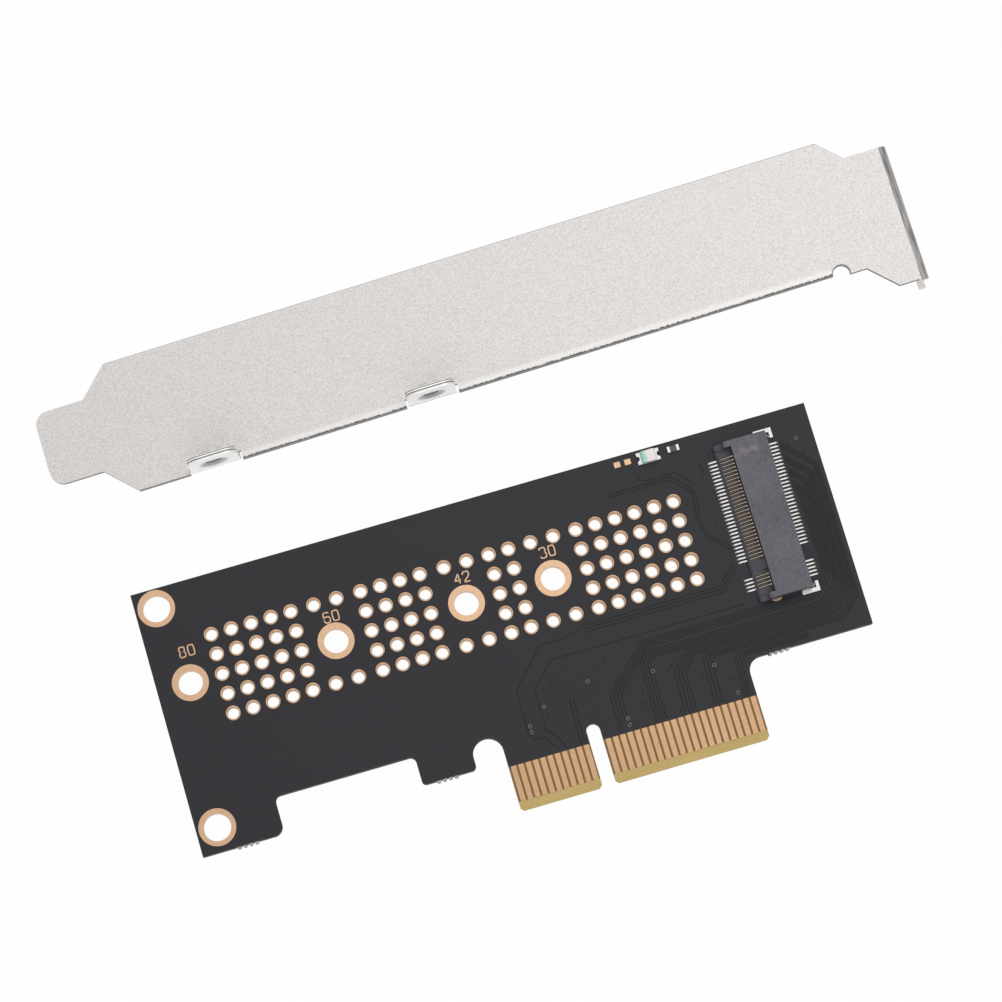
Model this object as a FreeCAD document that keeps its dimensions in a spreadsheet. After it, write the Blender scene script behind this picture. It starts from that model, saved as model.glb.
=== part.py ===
import FreeCAD, Part
import os
import Sketcher

# Adapter card that carries an M.2 solid-state drive in a PCI Express x4 slot, with its slot bracket
# lying beside it, taken off.  Millimetres.  The card lies flat on its underside.
#
# X runs along the card's long edge, away from the bracket end.  Y runs from the contact edge up the
# card.  Z is up.  The origin is where the key notch's centre line meets the contact edge, on the
# underside.

doc = FreeCAD.newDocument("drive_adapter_card")
sheet = doc.addObject("Spreadsheet::Sheet", "Sizes")

SIZES = [
    # the board
    ("board_thickness", 1.6),
    ("bracket_edge", 53.9),  # key centre line to the board's bracket end
    ("far_edge", 39.7),  # key centre line to the board's far end
    ("board_height", 42.0),  # contact edge to the top edge
    ("lower_edge", 10.9),  # height of the plain lower edge
    ("foot_bottom", 5.9),  # the foot under the bracket hole
    ("foot_length", 11.1),
    ("foot_corner", 1.3),
    ("stub_bottom", 6.9),  # the short stub before the relief notch
    ("stub_length", 7.4),
    ("stub_corner", 0.6),
    ("inner_corner", 0.8),  # where a foot or a stub meets the lower edge
    ("relief_width", 4.1),  # round-topped relief notch beside the short tongue
    ("relief_top", 10.55),
    ("tongue_fillet", 2.0),  # where the long tongue meets the lower edge
    ("tongue_chamfer", 0.4),
    # break-off marks left where the card was snapped out of its panel
    ("mark_radius", 0.28),
    ("mark_pitch", 0.8),
    ("mark_count", 4),
    ("foot_mark", 4.9),  # bracket end to the first mark
    ("stub_mark", 2.2),  # stub's side to the first mark
    ("far_mark", 3.4),  # long tongue's side to the first mark
    # key notch and edge contacts
    ("key_width", 1.9),
    ("key_top", 8.5),
    ("contact_pitch", 1.0),
    ("contact_width", 0.7),
    ("contact_thickness", 0.05),
    ("first_contact", 1.5),  # key centre line to the nearest contact's centre line
    ("tongue_margin", 0.6),  # last contact's centre line to the end of its tongue
    ("short_count", 11),
    ("long_count", 21),
    ("contact_top", 6.0),
    ("bevel_height", 1.2),
    ("bevel_depth", 0.44),
    # plated holes
    ("plating", 0.05),
    ("drive_row", 28.55),  # centre line of the drive, its socket and its stand-off holes
    ("drive_hole_radius", 1.65),
    ("drive_land_radius", 2.45),
    ("shortest_drive_hole", 0.65),  # stand-off hole of a 30 mm drive, from the key centre line
    ("step_to_42", 12.0),
    ("step_to_60", 18.0),
    ("step_to_80", 20.0),
    ("bracket_hole_radius", 1.83),
    ("bracket_land_radius", 2.5),
    ("bracket_hole_inset", 2.85),
    ("bracket_hole_drop", 2.65),  # top edge to the upper bracket hole
    ("bracket_hole_spacing", 30.2),
    # ventilation holes
    ("vent_radius", 0.8),
    ("vent_pitch", 2.73),
    ("vent_rows", 5),
    ("beside_hole", 1.57),  # stand-off hole's centre line to the short columns over and under it
    ("block_gap", 3.15),  # short column to the next full block
    ("left_columns", 5),
    ("middle_columns", 4),
    ("narrow_columns", 2),
    ("right_columns", 6),
    # drive socket
    ("socket_front", 26.1),  # key centre line to the socket's front
    ("socket_depth", 7.15),
    ("socket_length", 21.9),
    ("socket_height", 2.3),
    ("cover_front", 2.2),
    ("cover_bottom", 1.75),
    ("jaw_top", 0.75),
    ("slot_depth", 4.5),
    ("cheek_width", 0.78),
    ("cheek_front", 1.2),
    ("cheek_step", 1.0),
    ("key_rib_offset", 6.125),
    ("key_rib_width", 1.3),
    ("lip", 0.3),
    # socket contacts
    ("pin_pitch", 0.5),
    ("pin_width", 0.2),
    ("pin_thickness", 0.15),
    ("pin_clearance", 0.04),
    ("pin_rows_half", 9.25),  # centre line to the first pin of the rear row
    ("row_count", 29),
    ("rear_short_count", 5),
    ("front_short_count", 4),
    ("key_pins", 4),  # pins that the key takes out of each row
    ("front_foot_reach", 1.0),  # how far the feet stand out past the socket
    ("rear_foot_reach", 1.25),
    ("front_riser", 0.3),
    ("front_beam_low", 0.5),
    ("front_beam_high", 1.0),
    ("front_beam_tip", 2.6),
    ("rear_riser", 5.4),
    ("rear_beam_high", 1.95),
    ("rear_beam_low", 1.5),
    ("rear_beam_tip", 3.0),
    # locating pegs and hold-downs
    ("peg_radius", 0.45),
    ("peg_clearance", 0.08),
    ("peg_inset", 2.35),
    ("peg_offset", 10.35),
    ("peg_length", 1.2),
    ("peg_land_radius", 0.95),
    ("hold_thickness", 0.15),
    ("hold_width", 0.42),
    ("hold_reach", 0.55),  # how far the foot stands out past the socket's end
    ("hold_length", 2.45),
    ("hold_return", 1.4),
    ("hold_overhang", 1.1),
    ("ear_length", 1.0),
    ("ear_height", 1.0),
    ("ear_inset", 0.3),
    ("ear_lap", 0.05),  # how far the ear runs on into its foot
    ("ear_clearance", 0.03),
    # lamp, resistor and the empty pads
    ("lamp_x", 17.5),
    ("lamp_y", 40.75),
    ("lamp_length", 3.1),
    ("lamp_width", 1.6),
    ("lamp_base_height", 0.45),
    ("lens_length", 2.0),
    ("lens_height", 0.6),
    ("lens_taper", 0.12),
    ("terminal_length", 0.5),
    ("terminal_notch", 0.36),
    ("resistor_x", 21.0),
    ("resistor_y", 40.85),
    ("resistor_length", 1.6),
    ("resistor_width", 0.8),
    ("resistor_height", 0.45),
    ("cap_length", 0.35),
    ("pad_x", 13.2),
    ("pad_y", 40.85),
    ("pad_length", 0.85),
    ("pad_width", 0.75),
    ("pad_spacing", 1.46),
    # slot bracket, in its own frame: along the strip from the tongue's tip, across it from the tab side
    ("bracket_length", 120.0),
    ("strip_width", 18.1),
    ("sheet", 0.86),
    ("bend_radius", 0.2),
    ("tip_width", 10.2),
    ("tip_length", 7.0),
    ("tip_corner", 1.9),
    ("tab_first", 21.7),
    ("tab_width", 6.7),
    ("tab_height", 6.8),  # inner face of the strip to the tab's top
    ("tab_corner", 1.6),
    ("tab_hole_height", 3.3),  # inner face of the strip to the tab hole's centre
    ("tab_hole_radius", 1.25),
    ("tab_relief", 0.3),
    ("tab_relief_depth", 1.15),
    ("tab_collar_radius", 1.75),
    ("tab_collar_height", 0.6),
    ("tab_sink_radius", 1.85),
    ("tab_sink_depth", 0.35),
    ("flange_length", 7.6),
    ("flange_inset", 3.1),
    ("flange_outset", 3.85),
    ("neck_length", 5.85),  # flange face to the upper shoulder
    ("neck_lag", 1.8),  # how much nearer the flange the lower shoulder is
    ("neck_step", 0.35),
    ("nick_from_flange", 11.0),
    ("nick_radius", 1.15),
    ("screw_slot_width", 4.42),
    ("screw_slot_centre", 4.15),
    ("screw_slot_depth", 5.1),
    ("edge_break", 0.2),
    # where the bracket lies
    ("bracket_x", -59.8),
    ("bracket_y", 55.2),
    ("bracket_turn", 0.69),
]

for row, (alias, value) in enumerate(SIZES, start=1):
    sheet.set("A%d" % row, alias)
    sheet.set("B%d" % row, str(value))
    sheet.setAlias("B%d" % row, alias)
doc.recompute()


def tied(text):
    """An expression on the sheet: each word that is an alias gets the sheet's name before it."""
    aliases = {alias for alias, value in SIZES}
    words = text.replace("(", " ( ").replace(")", " ) ").split()
    tied_words = ["Sizes." + word if word in aliases else word for word in words]
    return " ".join(tied_words).replace("atan (", "atan(")


def size(text):
    """The present value of an expression on the sheet, in millimetres or as a count."""
    value = sheet.evalExpression(tied(text))
    return float(getattr(value, "Value", value))


def bind(thing, path, text):
    thing.setExpression(path, tied(text))


def new_body(name, place=("0", "0", "0")):
    """An empty body that may hold separate solids, standing at a place tied to the sheet."""
    body = doc.addObject("PartDesign::Body", name)
    body.Label = name
    body.AllowCompound = True
    for axis, text in zip("xyz", place):
        bind(body, "Placement.Base." + axis, text)
    return body


def new_sketch(body, name, plane, lift="0"):
    """A sketch on one of the body's origin planes, lifted along the plane's normal."""
    sketch = body.newObject("Sketcher::SketchObject", name)
    origin_plane = [part for part in body.Origin.OriginFeatures if part.Role == plane + "_Plane"][0]
    sketch.AttachmentSupport = [(origin_plane, "")]
    sketch.MapMode = "FlatFace"
    bind(sketch, "AttachmentOffset.Base.z", lift)
    return sketch


def pin_point(sketch, line, end, across, up):
    """Tie one point of a sketch to two expressions, or to an axis where an expression is 0."""
    for kind, axis, text in (("DistanceX", -2, across), ("DistanceY", -1, up)):
        if text == "0":
            sketch.addConstraint(Sketcher.Constraint("PointOnObject", line, end, axis))
        else:
            number = sketch.addConstraint(Sketcher.Constraint(kind, -1, 1, line, end, size(text)))
            bind(sketch, "Constraints[%d]" % number, text)


def draw_outline(sketch, points):
    """A closed outline of straight lines through the points, each tied to the sheet."""
    corners = [FreeCAD.Vector(size(across), size(up), 0) for across, up in points]
    first = sketch.GeometryCount
    for start, stop in zip(corners, corners[1:] + corners[:1]):
        sketch.addGeometry(Part.LineSegment(start, stop), False)
    for number in range(len(points)):
        after = (number + 1) % len(points)
        sketch.addConstraint(Sketcher.Constraint("Coincident", first + number, 2, first + after, 1))
    for number, (across, up) in enumerate(points):
        pin_point(sketch, first + number, 1, across, up)


def draw_circle(sketch, across, up, radius):
    centre = FreeCAD.Vector(size(across), size(up), 0)
    circle = sketch.addGeometry(Part.Circle(centre, FreeCAD.Vector(0, 0, 1), size(radius)), False)
    pin_point(sketch, circle, 3, across, up)
    number = sketch.addConstraint(Sketcher.Constraint("Radius", circle, size(radius)))
    bind(sketch, "Constraints[%d]" % number, radius)


def box_points(left, bottom, right, top):
    return [(left, bottom), (right, bottom), (right, top), (left, top)]


def finish_feature(body, feature):
    """Make a feature the body's tip and check that it has worked."""
    body.Tip = feature
    doc.recompute()
    if feature.Shape.isNull() or "Invalid" in feature.State:
        raise RuntimeError("%s has failed: %s" % (feature.Name, feature.getStatusString()))
    return feature


def pad(body, sketch, depth, both_ways=False, reverse=False):
    feature = body.newObject("PartDesign::Pad", sketch.Name + "_pad")
    feature.Profile = sketch
    bind(feature, "Length", depth)
    feature.Midplane = both_ways
    feature.Reversed = reverse
    sketch.Visibility = False
    return finish_feature(body, feature)


def pocket(body, sketch, depth=None, both_ways=False, reverse=False):
    """A cut of the given depth, or right through the body both ways without one."""
    before = body.Shape.Volume
    feature = body.newObject("PartDesign::Pocket", sketch.Name + "_cut")
    feature.Profile = sketch
    if depth is None:
        feature.Type = "ThroughAll"
        feature.Midplane = True
    else:
        bind(feature, "Length", depth)
        feature.Midplane = both_ways
        feature.Reversed = reverse
    finish_feature(body, feature)
    if body.Shape.Volume >= before:
        raise RuntimeError(sketch.Name + " cuts nothing")
    return feature


def row_of(body, feature, axis, length, count):
    """Repeat a feature along one of its sketch's axes, over a length, as a linear pattern."""
    pattern = body.newObject("PartDesign::LinearPattern", feature.Name + "_row")
    pattern.Originals = [feature]
    pattern.Direction = (feature.Profile[0], [axis])
    bind(pattern, "Length", length)
    bind(pattern, "Occurrences", count)
    return finish_feature(body, pattern)


def grid_of(body, feature, width, columns, height, rows):
    """Repeat a feature in columns and rows."""
    grid = body.newObject("PartDesign::MultiTransform", feature.Name + "_grid")
    grid.Originals = [feature]
    steps = []
    for axis, length, count in (("H_Axis", width, columns), ("V_Axis", height, rows)):
        step = body.newObject("PartDesign::LinearPattern", feature.Name + "_" + axis)
        step.Direction = (feature.Profile[0], [axis])
        bind(step, "Length", length)
        bind(step, "Occurrences", count)
        steps.append(step)
    grid.Transformations = steps
    return finish_feature(body, grid)


def edges_along(axis, shape, places):
    """Names of the straight edges along an axis, at the given places across the other two axes."""
    names = []
    across, up = [other for other in "xyz" if other != axis]
    for number, edge in enumerate(shape.Edges, start=1):
        ends = [vertex.Point for vertex in edge.Vertexes]
        if len(ends) == 2 and abs(getattr(ends[0], axis) - getattr(ends[1], axis)) > 0.1:
            for place in places:
                if all(abs(getattr(end, across) - place[0]) + abs(getattr(end, up) - place[1]) < 0.01
                       for end in ends):
                    names.append("Edge%d" % number)
    return names


def dress(body, kind, name, edges, text):
    """A fillet or a chamfer on the named edges of the body's last feature."""
    if not edges:
        raise RuntimeError(name + " finds no edge")
    worked_on = body.Tip
    feature = body.newObject("PartDesign::" + kind, name)
    feature.Base = (worked_on, edges)
    bind(feature, "Radius" if kind == "Fillet" else "Size", text)
    return finish_feature(body, feature)


def group(name, parts):
    """Like pieces that share one node."""
    compound = doc.addObject("Part::Compound", name)
    compound.Label = name
    compound.Links = parts
    return compound


# ---------------------------------------------------------------- where things are on the board

SHORT_END = "( 0 - first_contact - ( short_count - 1 ) * contact_pitch - tongue_margin )"
LONG_END = "( first_contact + ( long_count - 1 ) * contact_pitch + tongue_margin )"
RELIEF_LEFT = "( " + SHORT_END + " - relief_width )"
STUB_LEFT = "( " + RELIEF_LEFT + " - stub_length )"
FOOT_RIGHT = "( foot_length - bracket_edge )"
HOLE_30 = "shortest_drive_hole"
HOLE_42 = "( shortest_drive_hole - step_to_42 )"
HOLE_60 = "( shortest_drive_hole - step_to_42 - step_to_60 )"
HOLE_80 = "( shortest_drive_hole - step_to_42 - step_to_60 - step_to_80 )"
BRACKET_HOLE_X = "( bracket_hole_inset - bracket_edge )"
UPPER_BRACKET_HOLE_Y = "( board_height - bracket_hole_drop )"
LOWER_BRACKET_HOLE_Y = "( board_height - bracket_hole_drop - bracket_hole_spacing )"
HALF_KEY = "( key_width / 2 )"
DRIVE_HOLES = [HOLE_80, HOLE_60, HOLE_42, HOLE_30]
BRACKET_HOLES = [(BRACKET_HOLE_X, UPPER_BRACKET_HOLE_Y), (BRACKET_HOLE_X, LOWER_BRACKET_HOLE_Y)]
PEG_X = "( socket_front + peg_inset )"
PEG_HOLES = [(PEG_X, "( drive_row + peg_offset )"), (PEG_X, "( drive_row - peg_offset )")]
PEG_HOLE_RADIUS = "( peg_radius + peg_clearance )"


def plated_holes():
    """Every hole with a copper land round it: place, bore and land radius."""
    holes = [(x, "drive_row", "drive_hole_radius", "drive_land_radius") for x in DRIVE_HOLES]
    holes += [(x, y, "bracket_hole_radius", "bracket_land_radius") for x, y in BRACKET_HOLES]
    holes += [(x, y, PEG_HOLE_RADIUS, "peg_land_radius") for x, y in PEG_HOLES]
    return holes


# ---------------------------------------------------------------- circuit board

def cut_lower_edge(body):
    """The foot, the stub, the relief notch, the key notch and the two contact tongues."""
    below = "( 0 - 1 )"
    cuts = {
        "gap_behind_foot": (FOOT_RIGHT, below, STUB_LEFT, "lower_edge"),
        "under_foot": ("( 0 - bracket_edge - 1 )", below, FOOT_RIGHT, "foot_bottom"),
        "under_stub": (STUB_LEFT, below, RELIEF_LEFT, "stub_bottom"),
        "relief": (RELIEF_LEFT, below, SHORT_END, "( relief_top - relief_width / 2 )"),
        "key": ("( 0 - key_width / 2 )", below, HALF_KEY, "( key_top - key_width / 2 )"),
        "beyond_tongue": (LONG_END, below, "( far_edge + 1 )", "lower_edge"),
    }
    for name, sides in cuts.items():
        sketch = new_sketch(body, name, "XY")
        draw_outline(sketch, box_points(*sides))
        pocket(body, sketch)
    rounds = {
        "relief_round": ("( " + SHORT_END + " - relief_width / 2 )", "relief_top", "relief_width"),
        "key_round": ("0", "key_top", "key_width"),
    }
    for name, (across, top, width) in rounds.items():
        sketch = new_sketch(body, name, "XY")
        draw_circle(sketch, across, "( %s - %s / 2 )" % (top, width), width + " / 2")
        pocket(body, sketch)


def round_lower_corners(body):
    """Router corners: round inside and outside, with chamfered ends on the contact tongues."""
    foot_right = size(FOOT_RIGHT)
    stub_left = size(STUB_LEFT)
    lower_edge = size("lower_edge")
    rounds = [
        ("foot_round", "foot_corner", [(foot_right, size("foot_bottom"))]),
        ("stub_rounds", "stub_corner",
         [(stub_left, size("stub_bottom")), (size(RELIEF_LEFT), size("stub_bottom"))]),
        ("inner_rounds", "inner_corner", [(foot_right, lower_edge), (stub_left, lower_edge)]),
        ("tongue_round", "tongue_fillet", [(size(LONG_END), lower_edge)]),
    ]
    for name, radius, places in rounds:
        dress(body, "Fillet", name, edges_along("z", body.Tip.Shape, places), radius)
    half_key = size(HALF_KEY)
    ends = [(size(SHORT_END), 0), (-half_key, 0), (half_key, 0), (size(LONG_END), 0)]
    dress(body, "Chamfer", "tongue_ends", edges_along("z", body.Tip.Shape, ends), "tongue_chamfer")


def add_break_marks(body):
    """Rows of small stumps left by the perforated bridges of the panel."""
    rows = [
        ("foot_marks", "( foot_mark - bracket_edge )", "foot_bottom"),
        ("stub_marks", "( %s + stub_mark )" % STUB_LEFT, "stub_bottom"),
        ("far_marks", "( %s + far_mark )" % LONG_END, "lower_edge"),
    ]
    for name, across, edge in rows:
        sketch = new_sketch(body, name, "XY")
        draw_circle(sketch, across, edge, "mark_radius")
        stump = pad(body, sketch, "board_thickness")
        row_of(body, stump, "H_Axis", "( mark_count - 1 ) * mark_pitch", "mark_count")


def bevel_contact_edge(body):
    """The lead-in on both faces of the contact edge."""
    for name, face, inside in (("top_bevel", "board_thickness", "board_thickness - bevel_depth"),
                               ("under_bevel", "0", "bevel_depth")):
        sketch = new_sketch(body, name, "YZ")
        draw_outline(sketch, [("bevel_height", face), ("0", face), ("0", inside)])
        pocket(body, sketch, "2 * ( bracket_edge + far_edge )", both_ways=True)


def drill_vents(body):
    """Ventilation holes in five rows, in blocks between the stand-off holes."""
    rows_height = "( vent_rows - 1 ) * vent_pitch"
    bottom = "( drive_row - ( vent_rows - 1 ) * vent_pitch / 2 )"
    edge_gap = "( beside_hole + block_gap )"
    blocks = [
        ("left_vents", "( %s - %s - ( left_columns - 1 ) * vent_pitch )" % (HOLE_60, edge_gap),
         "left_columns"),
        ("middle_vents",
         "( ( %s + %s ) / 2 - ( middle_columns - 1 ) * vent_pitch / 2 )" % (HOLE_60, HOLE_42),
         "middle_columns"),
        ("narrow_vents",
         "( ( %s + %s ) / 2 - ( narrow_columns - 1 ) * vent_pitch / 2 )" % (HOLE_42, HOLE_30),
         "narrow_columns"),
        ("right_vents", "( %s + %s )" % (HOLE_30, edge_gap), "right_columns"),
    ]
    for name, across, columns in blocks:
        sketch = new_sketch(body, name, "XY")
        draw_circle(sketch, across, bottom, "vent_radius")
        width = "( %s - 1 ) * vent_pitch" % columns
        grid_of(body, pocket(body, sketch), width, columns, rows_height, "vent_rows")
    for name, hole in (("vents_at_60", HOLE_60), ("vents_at_42", HOLE_42), ("vents_at_30", HOLE_30)):
        sketch = new_sketch(body, name, "XY")
        draw_circle(sketch, "( %s - beside_hole )" % hole, bottom, "vent_radius")
        grid_of(body, pocket(body, sketch), "2 * beside_hole", "2", rows_height, "2")


def sink_plating(body):
    """Holes for the copper barrels, and shallow seats for the lands and the edge contacts."""
    drill = new_sketch(body, "plated_bores", "XY")
    for across, up, bore, land in plated_holes():
        draw_circle(drill, across, up, "( %s + plating )" % bore)
    pocket(body, drill)
    for name, lift, upward in (("top_seats", "board_thickness", False), ("under_seats", "0", True)):
        seats = new_sketch(body, name, "XY", lift)
        for across, up, bore, land in plated_holes():
            draw_circle(seats, across, up, land)
        pocket(body, seats, "plating", reverse=upward)
        tongues = new_sketch(body, name + "_contacts", "XY", lift)
        draw_outline(tongues, box_points(SHORT_END, "( 0 - 1 )", "( 0 - key_width / 2 )", "contact_top"))
        draw_outline(tongues, box_points(HALF_KEY, "( 0 - 1 )", LONG_END, "contact_top"))
        pocket(body, tongues, "contact_thickness", reverse=upward)


def make_board():
    body = new_body("circuit_board")
    sketch = new_sketch(body, "blank", "XY")
    draw_outline(sketch, box_points("( 0 - bracket_edge )", "0", "far_edge", "board_height"))
    pad(body, sketch, "board_thickness")
    cut_lower_edge(body)
    round_lower_corners(body)
    add_break_marks(body)
    bevel_contact_edge(body)
    sink_plating(body)
    drill_vents(body)
    return body


# ---------------------------------------------------------------- copper

def make_contacts(name, first, count, lift):
    """One row of edge contacts, flush in its seat."""
    body = new_body(name, ("0", "0", lift))
    sketch = new_sketch(body, name + "_outline", "XY")
    left = "( %s - contact_width / 2 )" % first
    right = "( %s + contact_width / 2 )" % first
    draw_outline(sketch, box_points(left, "bevel_height", right, "contact_top"))
    one = pad(body, sketch, "contact_thickness")
    row_of(body, one, "H_Axis", "( %s - 1 ) * contact_pitch" % count, count)
    return body


def make_eyelet(name, across, up, bore, land):
    """A plated hole: a thin barrel with a land on each face, flush with the board."""
    body = new_body(name, (across, up, "0"))
    sketch = new_sketch(body, name + "_section", "XZ")
    barrel = "( %s + plating )" % bore
    inner_top = "( board_thickness - plating )"
    draw_outline(sketch, [(bore, "0"), (land, "0"), (land, "plating"), (barrel, "plating"),
                          (barrel, inner_top), (land, inner_top), (land, "board_thickness"),
                          (bore, "board_thickness")])
    ring = body.newObject("PartDesign::Revolution", name + "_ring")
    ring.Profile = sketch
    ring.ReferenceAxis = (sketch, ["V_Axis"])
    ring.Angle = 360
    finish_feature(body, ring)
    return body


def make_eyelets(name, holes):
    return group(name, [make_eyelet("%s_%d" % (name, number), *hole)
                        for number, hole in enumerate(holes, start=1)])


def make_pads():
    """Two bare pads of a resistor that isn't fitted."""
    body = new_body("empty_pads", ("pad_x", "pad_y", "board_thickness"))
    sketch = new_sketch(body, "pad_outline", "XY")
    draw_outline(sketch, box_points("( 0 - pad_length / 2 )", "( 0 - pad_width / 2 )",
                                    "pad_length / 2", "pad_width / 2"))
    row_of(body, pad(body, sketch, "plating"), "H_Axis", "pad_spacing", "2")
    return body


# ---------------------------------------------------------------- drive socket

SOCKET_PLACE = ("socket_front", "drive_row", "board_thickness")
HALF_SOCKET = "( socket_length / 2 )"
# each row: its side, how far its first pin lies from the centre line, and its number of pins
REAR_LONG = ("rear", "pin_rows_half", "row_count")
REAR_SHORT = ("rear", "( pin_rows_half - ( row_count + key_pins ) * pin_pitch )", "rear_short_count")
FRONT_LONG = ("front", "( pin_rows_half - pin_pitch / 2 )", "row_count")
FRONT_SHORT = ("front", "( pin_rows_half - pin_pitch / 2 - ( row_count + key_pins ) * pin_pitch )",
               "front_short_count")
PIN_ROWS = {
    "socket_pins_rear_long": REAR_LONG,
    "socket_pins_rear_short": REAR_SHORT,
    "socket_pins_front_long": FRONT_LONG,
    "socket_pins_front_short": FRONT_SHORT,
}


def pin_outline(side):
    """Side view of one contact: the foot on the board, the riser and the springy beam."""
    if side == "front":
        return [("( 0 - front_foot_reach )", "0"), ("front_riser + pin_thickness", "0"),
                ("front_riser + pin_thickness", "front_beam_low - pin_thickness"),
                ("front_beam_tip", "front_beam_high - 2 * pin_thickness"),
                ("front_beam_tip", "front_beam_high - pin_thickness"),
                ("( front_beam_tip - 3 * pin_thickness )", "front_beam_high"),
                ("front_riser", "front_beam_low"), ("front_riser", "pin_thickness"),
                ("( 0 - front_foot_reach )", "pin_thickness")]
    return [("( socket_depth + rear_foot_reach )", "0"),
            ("( socket_depth + rear_foot_reach )", "pin_thickness"),
            ("( rear_riser + pin_thickness )", "pin_thickness"),
            ("( rear_riser + pin_thickness )", "rear_beam_high"),
            ("rear_beam_tip", "( rear_beam_low + 2 * pin_thickness )"),
            ("rear_beam_tip", "( rear_beam_low + pin_thickness )"),
            ("( rear_beam_tip + 3 * pin_thickness )", "rear_beam_low"),
            ("rear_riser", "( rear_beam_high - pin_thickness )"),
            ("rear_riser", "0")]


def channel_outline(side):
    """Side view of the channel that a contact lies in, with room round its beam and foot."""
    if side == "front":
        return [("( 0 - 1 )", "( 0 - 1 )"), ("front_riser + 2 * pin_thickness", "( 0 - 1 )"),
                ("front_riser + 2 * pin_thickness", "front_beam_low - 2 * pin_thickness"),
                ("slot_depth - pin_thickness", "front_beam_low - pin_thickness"),
                ("slot_depth - pin_thickness", "jaw_top + pin_thickness"),
                ("( front_riser - pin_clearance )", "jaw_top + pin_thickness"),
                ("( front_riser - pin_clearance )", "2 * pin_thickness"),
                ("( 0 - 1 )", "2 * pin_thickness")]
    return [("( socket_depth + 1 )", "( 0 - 1 )"), ("( socket_depth + 1 )", "2 * pin_thickness"),
            ("( rear_riser + pin_thickness + pin_clearance )", "2 * pin_thickness"),
            ("( rear_riser + pin_thickness + pin_clearance )", "( rear_beam_high + pin_clearance )"),
            ("( cover_front + lip )", "( rear_beam_high + pin_clearance )"),
            ("( cover_front + lip )", "( cover_bottom - pin_thickness )"),
            ("( rear_riser - pin_thickness )", "( cover_bottom - pin_thickness )"),
            ("( rear_riser - pin_thickness )", "( 0 - 1 )")]


def cut_channels(body):
    for name, (side, first, count) in PIN_ROWS.items():
        sketch = new_sketch(body, name + "_channel", "XZ", "( 0 - %s )" % first)
        draw_outline(sketch, channel_outline(side))
        one = pocket(body, sketch, "pin_width + 2 * pin_clearance", both_ways=True)
        row_of(body, one, "N_Axis", "( %s - 1 ) * pin_pitch" % count, count)


def add_pegs(body):
    """Locating pegs that stand in the board's peg holes."""
    sketch = new_sketch(body, "pegs", "XY")
    draw_circle(sketch, "peg_inset", "peg_offset", "peg_radius")
    draw_circle(sketch, "peg_inset", "( 0 - peg_offset )", "peg_radius")
    pad(body, sketch, "peg_length", reverse=True)


def cut_ear_slots(body):
    """Slots in the two ends for the hold-downs' ears."""
    sketch = new_sketch(body, "ear_slots", "XY")
    left = "( socket_depth - ear_inset - ear_length - ear_clearance )"
    right = "( socket_depth - ear_inset + ear_clearance )"
    inside = "( socket_length / 2 - hold_thickness - ear_clearance )"
    outside = "( socket_length / 2 + 1 )"
    draw_outline(sketch, box_points(left, inside, right, outside))
    draw_outline(sketch, box_points(left, "( 0 - %s )" % outside, right, "( 0 - %s )" % inside))
    pocket(body, sketch, "ear_height + ear_clearance", reverse=True)


def make_housing():
    """The moulded socket: a lower jaw, a cover over the slot, two cheeks and the key rib."""
    body = new_body("socket_housing", SOCKET_PLACE)
    jaws = new_sketch(body, "jaws", "XZ")
    draw_outline(jaws, [("0", "0"), ("socket_depth", "0"), ("socket_depth", "socket_height"),
                        ("cover_front", "socket_height"), ("cover_front", "cover_bottom + lip / 2"),
                        ("cover_front + lip / 2", "cover_bottom"), ("slot_depth", "cover_bottom"),
                        ("slot_depth", "jaw_top"), ("lip", "jaw_top"), ("0", "jaw_top - lip")])
    pad(body, jaws, "socket_length", both_ways=True)
    cut_channels(body)
    cheek = [("0", "0"), ("socket_depth", "0"), ("socket_depth", "socket_height"),
             ("cheek_front + lip", "socket_height"), ("cheek_front", "socket_height - lip"),
             ("cheek_front", "cheek_step"), ("lip", "cheek_step"), ("0", "cheek_step - lip")]
    ends = (("near_cheek", HALF_SOCKET, True), ("far_cheek", "( 0 - %s )" % HALF_SOCKET, False))
    for name, lift, back in ends:
        sketch = new_sketch(body, name, "XZ", lift)
        draw_outline(sketch, cheek)
        pad(body, sketch, "cheek_width", reverse=back)
    rib = new_sketch(body, "key_rib", "XZ", "key_rib_offset")
    draw_outline(rib, [("lip", "jaw_top - lip"), ("slot_depth + lip", "jaw_top - lip"),
                       ("slot_depth + lip", "cover_bottom + lip"),
                       ("cover_front + lip", "cover_bottom + lip"),
                       ("cover_front", "jaw_top + lip"), ("lip", "jaw_top")])
    pad(body, rib, "key_rib_width", both_ways=True)
    add_pegs(body)
    cut_ear_slots(body)
    return body


def make_pins(name, side, first, count):
    """One row of contacts, side by side at the socket's pitch."""
    body = new_body(name, SOCKET_PLACE)
    sketch = new_sketch(body, name + "_profile", "XZ", "( 0 - %s )" % first)
    draw_outline(sketch, pin_outline(side))
    one = pad(body, sketch, "pin_width", both_ways=True)
    row_of(body, one, "N_Axis", "( %s - 1 ) * pin_pitch" % count, count)
    return body


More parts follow.
